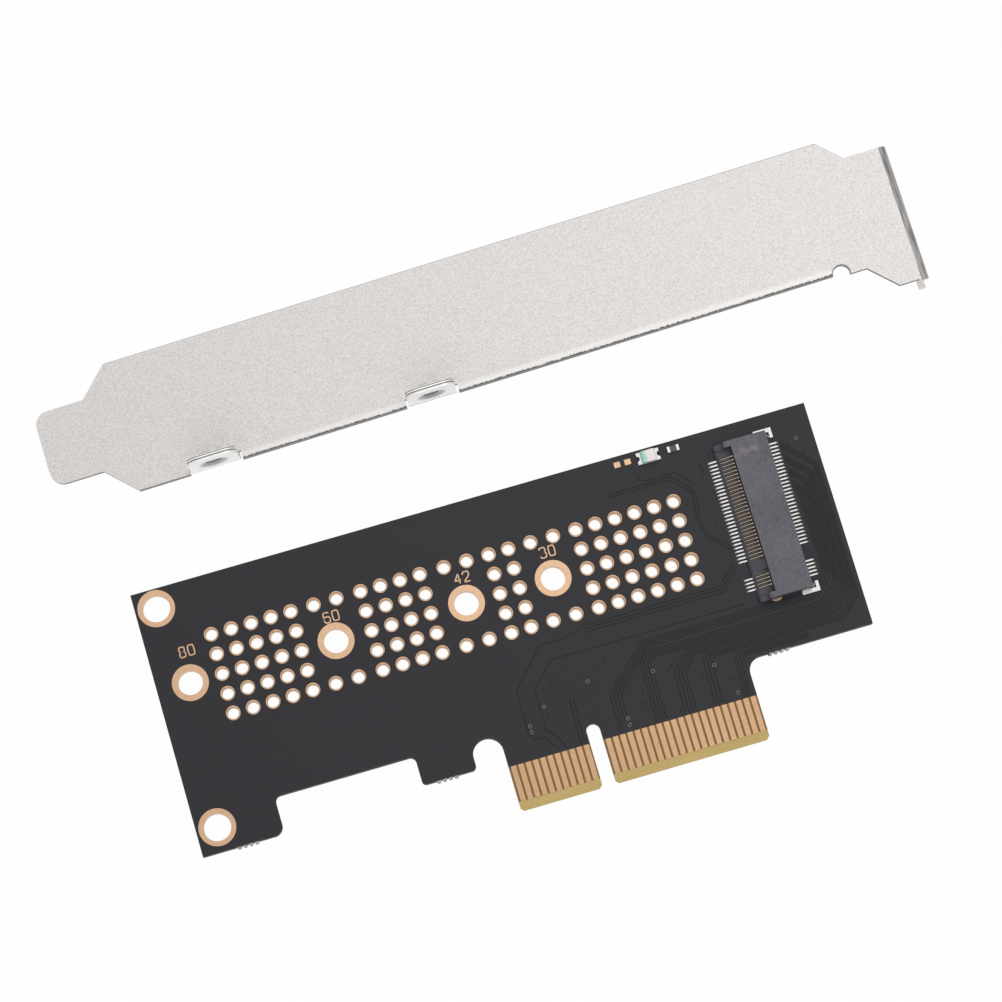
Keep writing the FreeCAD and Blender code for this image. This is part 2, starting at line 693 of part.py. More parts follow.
def make_hold_down(name, side):
    """A soldered foot round one rear corner of the socket, with an ear in the socket's end."""
    body = new_body(name, SOCKET_PLACE)
    away = (lambda text: text) if side > 0 else (lambda text: "( 0 - %s )" % text)
    end = HALF_SOCKET
    outer = "( socket_length / 2 + hold_reach )"
    right = "( socket_depth + hold_overhang )"
    foot = new_sketch(body, name + "_foot", "XY")
    points = [("( %s - hold_length )" % right, end), ("( %s - hold_length )" % right, outer),
              (right, outer), (right, "( %s - hold_return )" % outer),
              ("( %s - hold_width )" % right, "( %s - hold_return )" % outer),
              ("( %s - hold_width )" % right, end)]
    draw_outline(foot, [(across, away(up)) for across, up in points])
    pad(body, foot, "hold_thickness")
    ear = new_sketch(body, name + "_ear", "XY")
    back = "( socket_length / 2 - hold_thickness )"
    left = "( socket_depth - ear_inset - ear_length )"
    draw_outline(ear, [(across, away(up)) for across, up in
                       box_points(left, back, "( socket_depth - ear_inset )", "( %s + ear_lap )" % end)])
    pad(body, ear, "ear_height")
    return body


# ---------------------------------------------------------------- lamp and resistor

def make_lamp_base():
    """The lamp's white carrier, with a half-round notch in each end for its terminals."""
    body = new_body("lamp_base", ("lamp_x", "lamp_y", "board_thickness"))
    half = "( lamp_length / 2 - terminal_length )"
    sketch = new_sketch(body, "lamp_carrier", "XY")
    draw_outline(sketch, box_points("( 0 - %s )" % half, "( 0 - lamp_width / 2 )", half, "lamp_width / 2"))
    pad(body, sketch, "lamp_base_height")
    return body


def make_lamp_terminals():
    body = new_body("lamp_terminals", ("lamp_x", "lamp_y", "board_thickness"))
    sketch = new_sketch(body, "terminal_outline", "XY")
    left = "( 0 - lamp_length / 2 )"
    inner = "( terminal_length - lamp_length / 2 )"
    draw_outline(sketch, box_points(left, "( 0 - lamp_width / 2 )", inner, "lamp_width / 2"))
    block = pad(body, sketch, "lamp_base_height")
    row_of(body, block, "H_Axis", "lamp_length - terminal_length", "2")
    notch = new_sketch(body, "terminal_notches", "XY")
    draw_circle(notch, left, "0", "terminal_notch")
    draw_circle(notch, "lamp_length / 2", "0", "terminal_notch")
    pocket(body, notch)
    return body


def make_lamp_lens():
    """A clear block with sloping ends on top of the carrier."""
    body = new_body("lamp_lens", ("lamp_x", "lamp_y", "board_thickness + lamp_base_height"))
    sketch = new_sketch(body, "lens_section", "XZ")
    draw_outline(sketch, [("( 0 - lens_length / 2 )", "0"), ("lens_length / 2", "0"),
                          ("( lens_length / 2 - lens_taper )", "lens_height"),
                          ("( lens_taper - lens_length / 2 )", "lens_height")])
    pad(body, sketch, "lamp_width", both_ways=True)
    return body


def make_resistor_chip():
    body = new_body("resistor_chip", ("resistor_x", "resistor_y", "board_thickness"))
    half = "( resistor_length / 2 - cap_length )"
    sketch = new_sketch(body, "chip_outline", "XY")
    draw_outline(sketch, box_points("( 0 - %s )" % half, "( 0 - resistor_width / 2 )",
                                    half, "resistor_width / 2"))
    pad(body, sketch, "resistor_height")
    return body


def make_resistor_caps():
    body = new_body("resistor_end_caps", ("resistor_x", "resistor_y", "board_thickness"))
    sketch = new_sketch(body, "cap_outline", "XY")
    draw_outline(sketch, box_points("( 0 - resistor_length / 2 )", "( 0 - resistor_width / 2 )",
                                    "( cap_length - resistor_length / 2 )", "resistor_width / 2"))
    cap = pad(body, sketch, "resistor_height")
    row_of(body, cap, "H_Axis", "resistor_length - cap_length", "2")
    return body


# ---------------------------------------------------------------- slot bracket

SHOULDER = "( ( strip_width - tip_width ) / 2 )"
FLANGE_TOP = "( strip_width - flange_inset )"
FLANGE_BOTTOM = "( 0 - flange_outset )"
STRIP_END = "( bracket_length - sheet - bend_radius )"
OUTER_BEND = "( bend_radius + sheet )"
TABS = ["tab_first", "( tab_first + bracket_hole_spacing )"]


def draw_strip(body):
    """The flat of the bracket: tongue, sloping shoulders, strip and the neck up to the flange."""
    strip = new_sketch(body, "strip", "XY")
    near = "( tip_length + %s )" % SHOULDER
    upper_neck = "( bracket_length - neck_length )"
    lower_neck = "( bracket_length - neck_length + neck_lag )"
    draw_outline(strip, [
        ("0", SHOULDER), ("tip_length", SHOULDER), (near, "0"),
        ("( bracket_length - nick_from_flange )", "0"),
        ("( bracket_length - nick_from_flange )", "( 0 - neck_step )"),
        ("( %s - ( flange_outset - neck_step ) )" % lower_neck, "( 0 - neck_step )"),
        (lower_neck, FLANGE_BOTTOM), (STRIP_END, FLANGE_BOTTOM), (STRIP_END, FLANGE_TOP),
        (upper_neck, FLANGE_TOP), ("( %s - flange_inset )" % upper_neck, "strip_width"),
        (near, "strip_width"), ("tip_length", "( %s + tip_width )" % SHOULDER),
        ("0", "( %s + tip_width )" % SHOULDER)])
    pad(body, strip, "sheet")
    tips = [(0, size(SHOULDER)), (0, size(SHOULDER + " + tip_width"))]
    dress(body, "Fillet", "tip_rounds", edges_along("z", body.Tip.Shape, tips), "tip_corner")
    nick = new_sketch(body, "bend_nick", "XY")
    draw_circle(nick, "( bracket_length - nick_from_flange )", "0", "nick_radius")
    pocket(body, nick)


def fold_flange(body):
    """The flange that a case screw holds: folded down at the end, with an open screw slot."""
    fold = new_sketch(body, "flange", "XZ", "( 0 - %s )" % FLANGE_TOP)
    flange_inside = "( bracket_length - sheet )"
    flange_end = "( sheet - flange_length )"
    draw_outline(fold, [(STRIP_END, "0"), (flange_inside, "0"), (flange_inside, flange_end),
                        ("bracket_length", flange_end), ("bracket_length", "sheet"),
                        (STRIP_END, "sheet")])
    pad(body, fold, "( %s - %s )" % (FLANGE_TOP, FLANGE_BOTTOM))
    slot = new_sketch(body, "screw_slot", "YZ", "( bracket_length + 1 )")
    middle = "( sheet - screw_slot_centre )"
    inside = "( %s + screw_slot_depth - screw_slot_width / 2 )" % FLANGE_BOTTOM
    draw_outline(slot, box_points("( %s - 1 )" % FLANGE_BOTTOM, "( %s - screw_slot_width / 2 )" % middle,
                                  inside, "( %s + screw_slot_width / 2 )" % middle))
    pocket(body, slot, "sheet + bend_radius + 1")
    end = new_sketch(body, "screw_slot_end", "YZ", "( bracket_length + 1 )")
    draw_circle(end, inside, middle, "screw_slot_width / 2")
    pocket(body, end, "sheet + bend_radius + 1")


def raise_tabs(body):
    """Two round-cornered tabs folded up on one side, between relief cuts in the strip."""
    tab_top = "( sheet + tab_height )"
    for number, tab in enumerate(TABS, start=1):
        left = "( %s - tab_width / 2 )" % tab
        right = "( %s + tab_width / 2 )" % tab
        relief = new_sketch(body, "tab_%d_relief" % number, "XY")
        draw_outline(relief, box_points("( %s - tab_relief )" % left, "( 0 - 1 )", left, "tab_relief_depth"))
        draw_outline(relief, box_points(right, "( 0 - 1 )", "( %s + tab_relief )" % right,
                                        "tab_relief_depth"))
        pocket(body, relief)
        plate = new_sketch(body, "tab_%d_plate" % number, "XZ")
        draw_outline(plate, box_points(left, "0", right, tab_top))
        pad(body, plate, "sheet", reverse=True)
        corners = [(size(left), size(tab_top)), (size(right), size(tab_top))]
        dress(body, "Fillet", "tab_%d_corners" % number, edges_along("y", body.Tip.Shape, corners),
              "tab_corner")


def tap_tabs(body):
    """Each tab's hole: drawn through into a collar behind the tab, with a sunk mouth in front."""
    for number, tab in enumerate(TABS, start=1):
        height = "( sheet + tab_hole_height )"
        collar = new_sketch(body, "tab_%d_collar" % number, "XZ", "( 0 - sheet )")
        draw_circle(collar, tab, height, "tab_collar_radius")
        pad(body, collar, "tab_collar_height", reverse=True)
        section = new_sketch(body, "tab_%d_bore" % number, "YZ", tab)
        back = "( sheet + tab_collar_height + 1 )"
        draw_outline(section, [("( 0 - 1 )", height), ("( 0 - 1 )", "( %s + tab_sink_radius )" % height),
                               ("0", "( %s + tab_sink_radius )" % height),
                               ("tab_sink_depth", "( %s + tab_hole_radius )" % height),
                               (back, "( %s + tab_hole_radius )" % height), (back, height)])
        bore = body.newObject("PartDesign::Groove", "tab_%d_bore_cut" % number)
        bore.Profile = section
        bore.ReferenceAxis = (section, ["Edge6"])
        bore.Angle = 360
        finish_feature(body, bore)


def bend_folds(body):
    """Rounds that turn the square folds of the flange and the tabs into bends."""
    flange_face = size("bracket_length")
    thick = size("sheet")
    tab_places = [size(tab) for tab in TABS]
    folds = {"inner_bends": ("bend_radius", []), "outer_bends": (OUTER_BEND, [])}
    for name, (radius, edges) in folds.items():
        outer = name == "outer_bends"
        flange_line = (flange_face, thick) if outer else (flange_face - thick, 0)
        tab_line = (0, 0) if outer else (thick, thick)
        for number, edge in enumerate(body.Tip.Shape.Edges, start=1):
            middle = edge.CenterOfMass
            box = edge.BoundBox
            on_flange = box.YLength > thick and box.XLength < 0.01 and \
                abs(middle.x - flange_line[0]) + abs(middle.z - flange_line[1]) < 0.01
            on_tab = box.XLength > thick and box.YLength < 0.01 and \
                abs(middle.y - tab_line[0]) + abs(middle.z - tab_line[1]) < 0.01 and \
                any(abs(middle.x - place) < 0.01 for place in tab_places)
            if on_flange or on_tab:
                edges.append("Edge%d" % number)
        dress(body, "Fillet", name, edges, radius)


def break_edges(body):
    """The punched strip's upper long edges, rolled over a little."""
    top = size("sheet")
    lines = [(0, top), (size("strip_width"), top)]
    dress(body, "Fillet", "rolled_edges", edges_along("x", body.Tip.Shape, lines), "edge_break")


def make_bracket():
    """The folded sheet: tabs up on one side, the flange down at the end.

    It leans on the flange's lower edge and on the tongue's tip, so the strip rises to the flange.
    """
    body = new_body("slot_bracket", ("bracket_x", "bracket_y", "0"))
    draw_strip(body)
    fold_flange(body)
    raise_tabs(body)
    tap_tabs(body)
    bend_folds(body)
    break_edges(body)
    lean = "-1 * atan( ( flange_length - sheet ) / ( bracket_length - sheet ) )"
    bind(body, "Placement.Rotation.Yaw", "bracket_turn")
    bind(body, "Placement.Rotation.Pitch", lean)
    return body


# ---------------------------------------------------------------- the whole card

def build_all():
    first_short = "( 0 - first_contact - ( short_count - 1 ) * contact_pitch )"
    top_seat = "( board_thickness - contact_thickness )"
    nodes = [
        make_board(),
        make_contacts("contacts_short_top", first_short, "short_count", top_seat),
        make_contacts("contacts_short_under", first_short, "short_count", "0"),
        make_contacts("contacts_long_top", "first_contact", "long_count", top_seat),
        make_contacts("contacts_long_under", "first_contact", "long_count", "0"),
        make_eyelets("standoff_hole_plating",
                     [(x, "drive_row", "drive_hole_radius", "drive_land_radius") for x in DRIVE_HOLES]),
        make_eyelets("bracket_hole_plating",
                     [(x, y, "bracket_hole_radius", "bracket_land_radius") for x, y in BRACKET_HOLES]),
        make_eyelets("peg_hole_plating",
                     [(x, y, PEG_HOLE_RADIUS, "peg_land_radius") for x, y in PEG_HOLES]),
        make_pads(),
        make_housing(),
        make_hold_down("hold_down_far", 1),
        make_hold_down("hold_down_near", -1),
        make_lamp_base(),
        make_lamp_terminals(),
        make_lamp_lens(),
        make_resistor_chip(),
        make_resistor_caps(),
        make_bracket(),
    ]
    nodes += [make_pins(name, *row) for name, row in PIN_ROWS.items()]
    return nodes


def check_and_write(nodes):
    """Stop at any failed object or bad shape, then write each node's file."""
    doc.recompute()
    for thing in doc.Objects:
        if "Invalid" in thing.State or "Error" in thing.State:
            raise RuntimeError("%s is in state %s" % (thing.Name, thing.State))
    os.makedirs("parts", exist_ok=True)
    for node in nodes:
        shape = node.Shape
        if shape.isNull() or not shape.isValid():
            raise RuntimeError(node.Label + " has no valid shape")
        shape.exportStep(os.path.join("parts", node.Label + ".step"))
        print(node.Label, len(shape.Solids), round(shape.Volume, 3), shape.BoundBox)


check_and_write(build_all())
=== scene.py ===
"""Dresses the drive adapter card and its slot bracket, and sets them on a pale table under soft light."""

import math

import bpy
import numpy as np
from mathutils import Matrix, Vector


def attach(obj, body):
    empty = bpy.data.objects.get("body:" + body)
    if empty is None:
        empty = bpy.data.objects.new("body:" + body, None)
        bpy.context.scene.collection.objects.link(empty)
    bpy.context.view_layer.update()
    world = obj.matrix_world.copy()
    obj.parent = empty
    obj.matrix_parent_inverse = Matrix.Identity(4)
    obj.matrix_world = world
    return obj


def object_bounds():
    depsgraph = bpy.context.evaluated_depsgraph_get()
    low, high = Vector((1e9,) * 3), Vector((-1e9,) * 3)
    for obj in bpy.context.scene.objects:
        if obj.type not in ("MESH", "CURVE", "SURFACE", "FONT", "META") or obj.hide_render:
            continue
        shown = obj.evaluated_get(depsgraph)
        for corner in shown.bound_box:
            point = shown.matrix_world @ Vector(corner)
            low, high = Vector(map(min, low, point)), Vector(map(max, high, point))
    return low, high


bl_info = {
    "name": "Drive adapter card",
    "version": (1, 0, 0),
    "blender": (4, 5, 0),
    "location": "3D View > Sidebar > Adapter card",
    "description": "Finishes, copper, solder and threads of a drive adapter card and its slot bracket",
    "category": "Object",
}

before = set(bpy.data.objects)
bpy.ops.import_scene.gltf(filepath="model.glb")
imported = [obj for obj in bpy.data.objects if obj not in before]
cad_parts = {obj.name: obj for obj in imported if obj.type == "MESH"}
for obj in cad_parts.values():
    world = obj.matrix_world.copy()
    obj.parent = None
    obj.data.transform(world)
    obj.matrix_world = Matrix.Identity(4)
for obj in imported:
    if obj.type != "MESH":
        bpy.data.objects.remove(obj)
CAD_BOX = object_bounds()
MM = 0.001

# ---------------------------------------------------------------- places, in millimetres

BOARD_TOP = 1.6
# the bare strip: its upper border, its left end and the lower ends of the contacts on it
BARE_TOP = 6.0
BARE_LEFT = -12.25
CONTACT_ENDS = 1.15
DRIVE_ROW = 28.55
VENT_PITCH = 2.73
VENT_RADIUS = 0.8
LAND_RADIUS = 1.0
# plated copper: how far it stands up, and how far its upper rim is drawn in
PLATING_RISE = 0.03
PLATING_BEVEL = 0.02
PRINT_RISE = 0.02
VENT_ROWS = 5
# each block of vents: its first column and the number of columns
VENT_BLOCKS = [(-44.99, 5), (-24.445, 4), (-6.715, 2), (5.37, 6)]
# beside each stand-off hole a column has only its top and bottom vent
VENT_PAIRS = [-30.92, -27.78, -12.92, -9.78, -0.92, 2.22]
SOCKET_LEFT, SOCKET_RIGHT = 26.1, 33.25
# how far the feet reach out of the socket, then each row of feet: its first foot and how many there are
FRONT_REACH, REAR_REACH = 1.0, 1.25
FRONT_FEET = [(23.55, 29), (19.55, 4)]
REAR_FEET = [(23.8, 29), (19.3, 5)]
FOOT_PITCH = 0.5
FOOT_SOLDER = 0.22
# level between jaw and cover, how far in the beams' tips with their painted highlight begin, and where the
# cover is rubbed
COVER_LEVEL = 3.65
BEAM_TIPS = SOCKET_LEFT + 2.0
RUBBED_END = (32.5, 37.5)
# break-off stumps: where each row starts and ends, and the edge that it stands out from
STUMP_ROWS = [(-49.5, -46.0, 5.9), (-21.8, -18.2, 6.9), (25.3, 29.3, 10.9)]
# solder beside the hold-downs: how high it stands, then the place and radius of each drop
HOLD_SOLDER_RISE = 0.08
HOLD_SOLDER = [(33.56, 39.15, 0.13), (33.74, 38.9, 0.16), (33.56, 17.85, 0.13), (33.74, 18.1, 0.16)]
LAMP_MIDDLE = 17.5
CARRIER_COLOUR = (0.78, 0.80, 0.77, 1.0)
GLAZE_COLOUR = (0.09, 0.09, 0.10, 1.0)
# covered copper: how many runs lie side by side, then the first and the last of them, point by point
RUNS = [
    (1, [(0.2, 20.4), (-3.5, 20.4), (-7.5, 16.4), (-8.3, 15.3), (-8.35, 9.6), (-7.9, 8.6), (-6.5, 8.5),
         (-5.1, 6.5)], None),
    (1, [(24.0, 18.1), (-2.8, 18.1), (-5.9, 15.0), (-6.0, 9.4), (-4.7, 8.0), (-4.1, 6.4)], None),
    (3, [(2.5, 21.3), (21.6, 21.3), (24.2, 23.9)], [(2.5, 20.4), (22.0, 20.4), (24.4, 22.8)]),
    (4, [(34.9, 31.1), (35.4, 30.6), (35.4, 19.7), (32.9, 17.2), (9.3, 17.2), (4.1, 12.0), (3.4, 11.2),
         (3.4, 6.4)],
     [(34.9, 32.4), (36.2, 31.1), (36.2, 18.7), (33.7, 16.2), (9.9, 16.2), (5.4, 11.7), (4.8, 10.9),
      (4.8, 8.2)]),
    (4, [(34.9, 33.2), (36.5, 31.6), (36.5, 18.2), (34.0, 15.7), (9.75, 15.7), (8.55, 14.5), (8.3, 6.4)],
     [(34.9, 34.2), (37.2, 31.9), (37.2, 17.2), (34.7, 14.7), (10.5, 14.7), (9.8, 14.0), (9.7, 6.4)]),
    (4, [(34.9, 35.0), (37.5, 32.4), (37.5, 17.0), (34.9, 14.4), (14.9, 14.4), (12.5, 12.0), (12.3, 6.4)],
     [(34.9, 36.1), (38.2, 32.8), (38.2, 16.2), (35.5, 13.5), (15.8, 13.5), (14.0, 11.7), (13.8, 6.4)]),
    (3, [(34.9, 37.0), (38.5, 33.4), (38.5, 15.8), (35.8, 13.1), (17.4, 13.1), (16.6, 12.3), (16.5, 6.4)],
     [(34.9, 37.8), (39.0, 33.7), (39.0, 15.2), (36.3, 12.5), (18.3, 12.5), (17.6, 11.8), (17.5, 6.4)]),
    (3, [(31.0, 12.1), (21.5, 12.1), (20.6, 11.2), (20.5, 6.4)],
     [(31.0, 11.5), (22.1, 11.5), (21.4, 10.8), (21.3, 6.4)]),
    (2, [(-1.9, 12.6), (-2.1, 6.4)], [(-1.35, 12.6), (-1.55, 6.4)]),
    (2, [(10.6, 37.3), (19.6, 37.3), (21.6, 35.3), (22.2, 34.2), (21.7, 30.9), (22.3, 28.3), (24.9, 25.7)],
     [(10.6, 36.9), (19.4, 36.9), (21.2, 35.1), (21.8, 34.1), (21.3, 30.9), (21.9, 28.1), (24.9, 25.2)]),
    (1, [(15.4, 38.9), (15.4, 38.1), (16.2, 37.7), (20.3, 37.7), (22.4, 35.6)], None),
    (1, [(24.0, 36.4), (23.9, 37.6), (23.4, 38.2)], None),
]
# small vias: bore, outer radius of an open one's rim, rise of a covered one, and where they are
VIA_RADIUS, VIA_RIM_RADIUS, VIA_RISE = 0.17, 0.26, 0.01
OPEN_VIAS = [(1.1, 14.0), (9.8, 12.9), (17.8, 11.4), (19.8, 7.0), (-5.4, 12.4), (-7.9, 10.4), (-7.9, 9.6),
             (4.8, 7.8), (4.8, 6.9), (37.3, 37.7)]
COVERED_VIAS = [(0.7, 20.9), (1.9, 20.8), (3.9, 15.9), (-3.6, 15.2), (-4.7, 14.6), (0.4, 14.7), (1.9, 13.3),
                (2.5, 15.8), (12.3, 13.0), (11.8, 12.4), (7.7, 10.6), (7.7, 8.1), (-3.3, 10.5), (7.6, 9.2),
                (11.9, 6.9), (15.8, 10.2), (17.9, 10.6), (9.8, 7.7), (-7.2, 9.7), (-5.2, 11.3),
                (19.8, 8.9), (-0.3, 9.7), (1.6, 7.6), (35.6, 38.2), (36.0, 37.0), (37.8, 35.6),
                (25.4, 38.7), (23.6, 29.7), (35.2, 26.9), (36.7, 19.5), (-0.8, 13.1)]
# the bracket's own frame: its corner, its lean about the width and its turn on the table
BRACKET_CORNER = (-59.8, 55.2, 0.0)
BRACKET_LEAN = math.atan(6.74 / 119.14)
BRACKET_TURN = math.radians(0.69)
SHEET = 0.86
# in that frame: the strip's upper edge, where the face turns into the bend, and the holes in the tabs
STRIP_TOP_EDGE = 18.0
BEND_START = 118.88
TAB_HOLES = [21.7, 51.9]
TAB_HOLE_HEIGHT = SHEET + 3.3
# the stretch of the strip's lower edge that is rolled over by the shears, with a painted highlight beside
# it
ROLLED_EDGE = (25.4, 107.8)
# the width of one dark line of painted shade and one bright line of painted highlight in a bore, and the
# ridge that stands in it
THREAD_STRIPE = 0.25
TAB_THREAD = {"radius": 1.25, "depth": 1.0, "pitch": 0.5, "cut": 0.17, "start": 0.42}
# the camera's place, the way it looks and which way is up for it
CAMERA_PLACE = (-31.6, -40.4, 473.0)
CAMERA_AHEAD = (0.05952, 0.16882, -0.98385)
CAMERA_UP = (0.27500, 0.94469, 0.17873)
# each lamp: its place and width in metres, and the setting that holds its power
LAMPS = [("key_lamp", (0.16, 0.20, 0.60), 0.45, "key"), ("fill_lamp", (-0.10, -0.42, 0.50), 0.35, "fill")]
# the table's half width and its level, in metres
TABLE_REACH, TABLE_LEVEL = 3.0, -0.00002


# ---------------------------------------------------------------- what a user may change

def tint(name, text, red, green, blue):
    """A colour that a user may change."""
    return bpy.props.FloatVectorProperty(name=name, description=text, subtype="COLOR", size=4,
                                         min=0.0, max=1.0, default=(red, green, blue, 1.0))


def length(name, text, value):
    """A length that a user may change, with its default in millimetres."""
    return bpy.props.FloatProperty(name=name, description=text, default=value * MM, min=0.0,
                                   unit="LENGTH", subtype="DISTANCE", precision=5)


def share(name, text, value):
    """A share from 0 to 1 that a user may change."""
    return bpy.props.FloatProperty(name=name, description=text, default=value, min=0.0, max=1.0,
                                   subtype="FACTOR")


class BoardFinish(bpy.types.PropertyGroup):
    """Colours and relief of the circuit board."""
    mask: tint("Mask", "Colour of the solder mask", 0.0185, 0.0172, 0.0230)
    mask_roughness: share("Mask roughness", "How matt the solder mask is", 0.42)
    laminate: tint("Laminate", "Colour of the bare laminate below the contacts", 0.65, 0.50, 0.21)
    routed_edge: tint("Routed edge", "Colour of the cut edge of the laminate", 0.075, 0.048, 0.033)
    land: tint("Lands", "Colour of the gold flash on the lands", 0.76, 0.495, 0.31)
    contact: tint("Contacts", "Colour of the gold on the edge contacts", 0.59, 0.366, 0.215)
    copper_rise: length("Copper relief", "How far the covered copper stands up under the mask", 0.018)
    run_width: length("Run width", "Width of one covered copper run", 0.17)
    via: tint("Vias", "Colour of the open vias' rims", 0.34, 0.31, 0.28)
    stump: tint("Break-off stumps", "Colour of the torn glass fibre", 0.78, 0.76, 0.72)
    print_width: length("Number stroke", "Stroke width of the drive length numbers", 0.19)
    number_height: length("Number height", "Height of the drive length numbers", 1.35)


class SocketFinish(bpy.types.PropertyGroup):
    """Colours of the drive socket, its contacts and the two small parts beside it."""
    cover: tint("Cover", "Colour of the socket's cover", 0.132, 0.126, 0.152)
    jaw: tint("Jaw", "Colour of the socket's lower jaw", 0.056, 0.056, 0.072)
    solder: tint("Solder", "Colour of solder and tinned feet", 0.70, 0.69, 0.68)
    beam: tint("Beams", "Colour of the gold contact beams", 0.78, 0.52, 0.25)
    lens_left: tint("Lens, dark end", "Tint of the lamp's lens over its die", 0.30, 0.62, 0.52)
    lens_right: tint("Lens, clear end", "Tint of the lamp's lens at its clear end", 0.86, 0.78, 0.76)


class BracketFinish(bpy.types.PropertyGroup):
    """Colours and grain of the slot bracket's zinc-coated sheet, and the colours of its painted highlights
    and shade.
    """
    sheet: tint("Sheet", "Colour of the zinc-coated face", 0.81, 0.775, 0.755)
    # painted highlight: this colour paints the light on the tab faces, along the strip's long edges and on
    # bright stripes in the threads
    painted_highlight: tint("Painted highlight", "Colour of burnished tabs and rims", 0.97, 0.965, 0.95)
    # besides the smooth part of the sheared edge, this colour paints the shade on the sunk rim round each
    # tab hole
    cut_edge_and_sink_shade: tint("Cut edge", "Colour of the smooth part of the sheared edge", 0.30, 0.29, 0.28)
    # besides the rough part of the sheared edge, this colour paints the dark stripes of shade in the
    # threaded bores
    fracture_and_thread_shade: tint("Broken edge", "Colour of the rough part of the sheared edge", 0.12, 0.115, 0.11)
    roughness: share("Roughness", "How matt the sheet is", 0.46)
    grain: length("Grain", "Size of the sheet's fine speckle", 0.23)


class StageSettings(bpy.types.PropertyGroup):
    """Table, light and camera."""
    table: tint("Table", "Colour of the table", 0.92, 0.92, 0.92)
    shadow: share("Shadow", "How much of the shadow on the table the camera sees", 0.03)
    focal: bpy.props.FloatProperty(name="Focal length", description="Focal length of the camera's lens",
                                   default=129.0, min=10.0, unit="CAMERA")
    sky: bpy.props.FloatProperty(name="Sky", description="Strength of the light from all round",
                                 default=0.68, min=0.0)
    key: bpy.props.FloatProperty(name="Key lamp", description="Power of the main lamp",
                                 default=0.66, min=0.0, unit="POWER")
    fill: bpy.props.FloatProperty(name="Fill lamp", description="Power of the lamp on the near side",
                                  default=0.55, min=0.0, unit="POWER")


# ---------------------------------------------------------------- meshes

def make_piece(name, points, faces, material, smooth=True):
    """One mesh object from an array of points in millimetres and a list or array of faces."""
    mesh = bpy.data.meshes.new(name)
    mesh.from_pydata((np.asarray(points, float) * MM).tolist(), [], [list(map(int, f)) for f in faces])
    mesh.update()
    if smooth:
        mesh.shade_smooth()
    piece = bpy.data.objects.new(name, mesh)
    bpy.context.scene.collection.objects.link(piece)
    mesh.materials.append(material)
    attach(piece, "root")
    return piece


def grid_faces(rows, columns, wrap_rows=False, wrap_columns=False):
    """Quads between neighbouring points of a grid whose point (i, j) has the number i * columns + j."""
    i = np.arange(rows if wrap_rows else rows - 1)[:, None]
    j = np.arange(columns if wrap_columns else columns - 1)[None, :]
    here, below = i * columns, (i + 1) % rows * columns
    left, right = j, (j + 1) % columns
    corners = np.stack(np.broadcast_arrays(here + left, below + left, below + right, here + right), axis=-1)
    return corners.reshape(-1, 4)


def repeat_shape(points, faces, places):
    """The same shape set down at each place: every point plus the place, every face number shifted."""
    points, places = np.asarray(points, float), np.asarray(places, float)
    moved = (places[:, None, :] + points[None, :, :]).reshape(-1, 3)
    shift = np.arange(len(places))[:, None, None] * len(points)
    return moved, (np.asarray(faces)[None, :, :] + shift).reshape(-1, np.shape(faces)[1])


def join_shapes(shapes):
    """Several (points, faces) pairs as one, the faces renumbered by how many points came before; faces
    may have different numbers of corners."""
    points, faces, count = [], [], 0
    for shape_points, shape_faces in shapes:
        points.append(shape_points)
        faces += [[corner + count for corner in face] for face in shape_faces]
        count += len(shape_points)
    return np.concatenate(points), faces


def turned(profile, steps):
    """A closed (radius, height) profile turned about Z: x = r cos a, y = r sin a, z = h."""
    profile = np.asarray(profile, float)
    angle = np.linspace(0.0, 2.0 * math.pi, steps, endpoint=False)[:, None]
    radius, height = profile[None, :, 0], profile[None, :, 1]
    places = np.broadcast_arrays(radius * np.cos(angle), radius * np.sin(angle), height)
    points = np.stack(places, axis=-1)
    return points.reshape(-1, 3), grid_faces(steps, len(profile), wrap_rows=True, wrap_columns=True)


def rounded_path(corners, cuts=3):
    """Corner cutting: each round puts points a quarter and three quarters along every leg."""
    path = np.asarray(corners, float)
    for _ in range(cuts):
        near = 0.75 * path[:-1] + 0.25 * path[1:]
        far = 0.25 * path[:-1] + 0.75 * path[1:]
        middle = np.stack([near, far], axis=1).reshape(-1, 2)
        path = np.concatenate([path[:1], middle, path[-1:]])
    return path


def raised_strip(path, width, low, high):
    """A low strip along a flat path: four points across each station, the two upper ones drawn in by
    the rise; offsets run along the path's own normal, scaled by one over the cosine of half the turn."""
    path = np.asarray(path, float)
    leg = np.diff(path, axis=0)
    leg /= np.linalg.norm(leg, axis=1, keepdims=True)
    before, after = np.concatenate([leg[:1], leg]), np.concatenate([leg, leg[-1:]])
    along = before + after
    along /= np.linalg.norm(along, axis=1, keepdims=True)
    stretch = 1.0 / np.maximum(np.sum(along * after, axis=1, keepdims=True), 0.5)
    normal = np.stack([-along[:, 1], along[:, 0]], axis=1) * stretch
    upper = 0.5 - (high - low) / width
    across = np.array([0.5, upper, -upper, -0.5]) * width
    lift = np.array([low, high, high, low])
    flat = path[:, None, :] + normal[:, None, :] * across[None, :, None]
    points = np.concatenate([flat, np.broadcast_to(lift[None, :, None], flat.shape[:2] + (1,))], axis=2)
    faces = grid_faces(len(path), 4, wrap_columns=True)
    last = (len(path) - 1) * 4
    ends = np.array([[0, 1, 2, 3], [last + 3, last + 2, last + 1, last]])
    return points.reshape(-1, 3), np.concatenate([faces, ends])


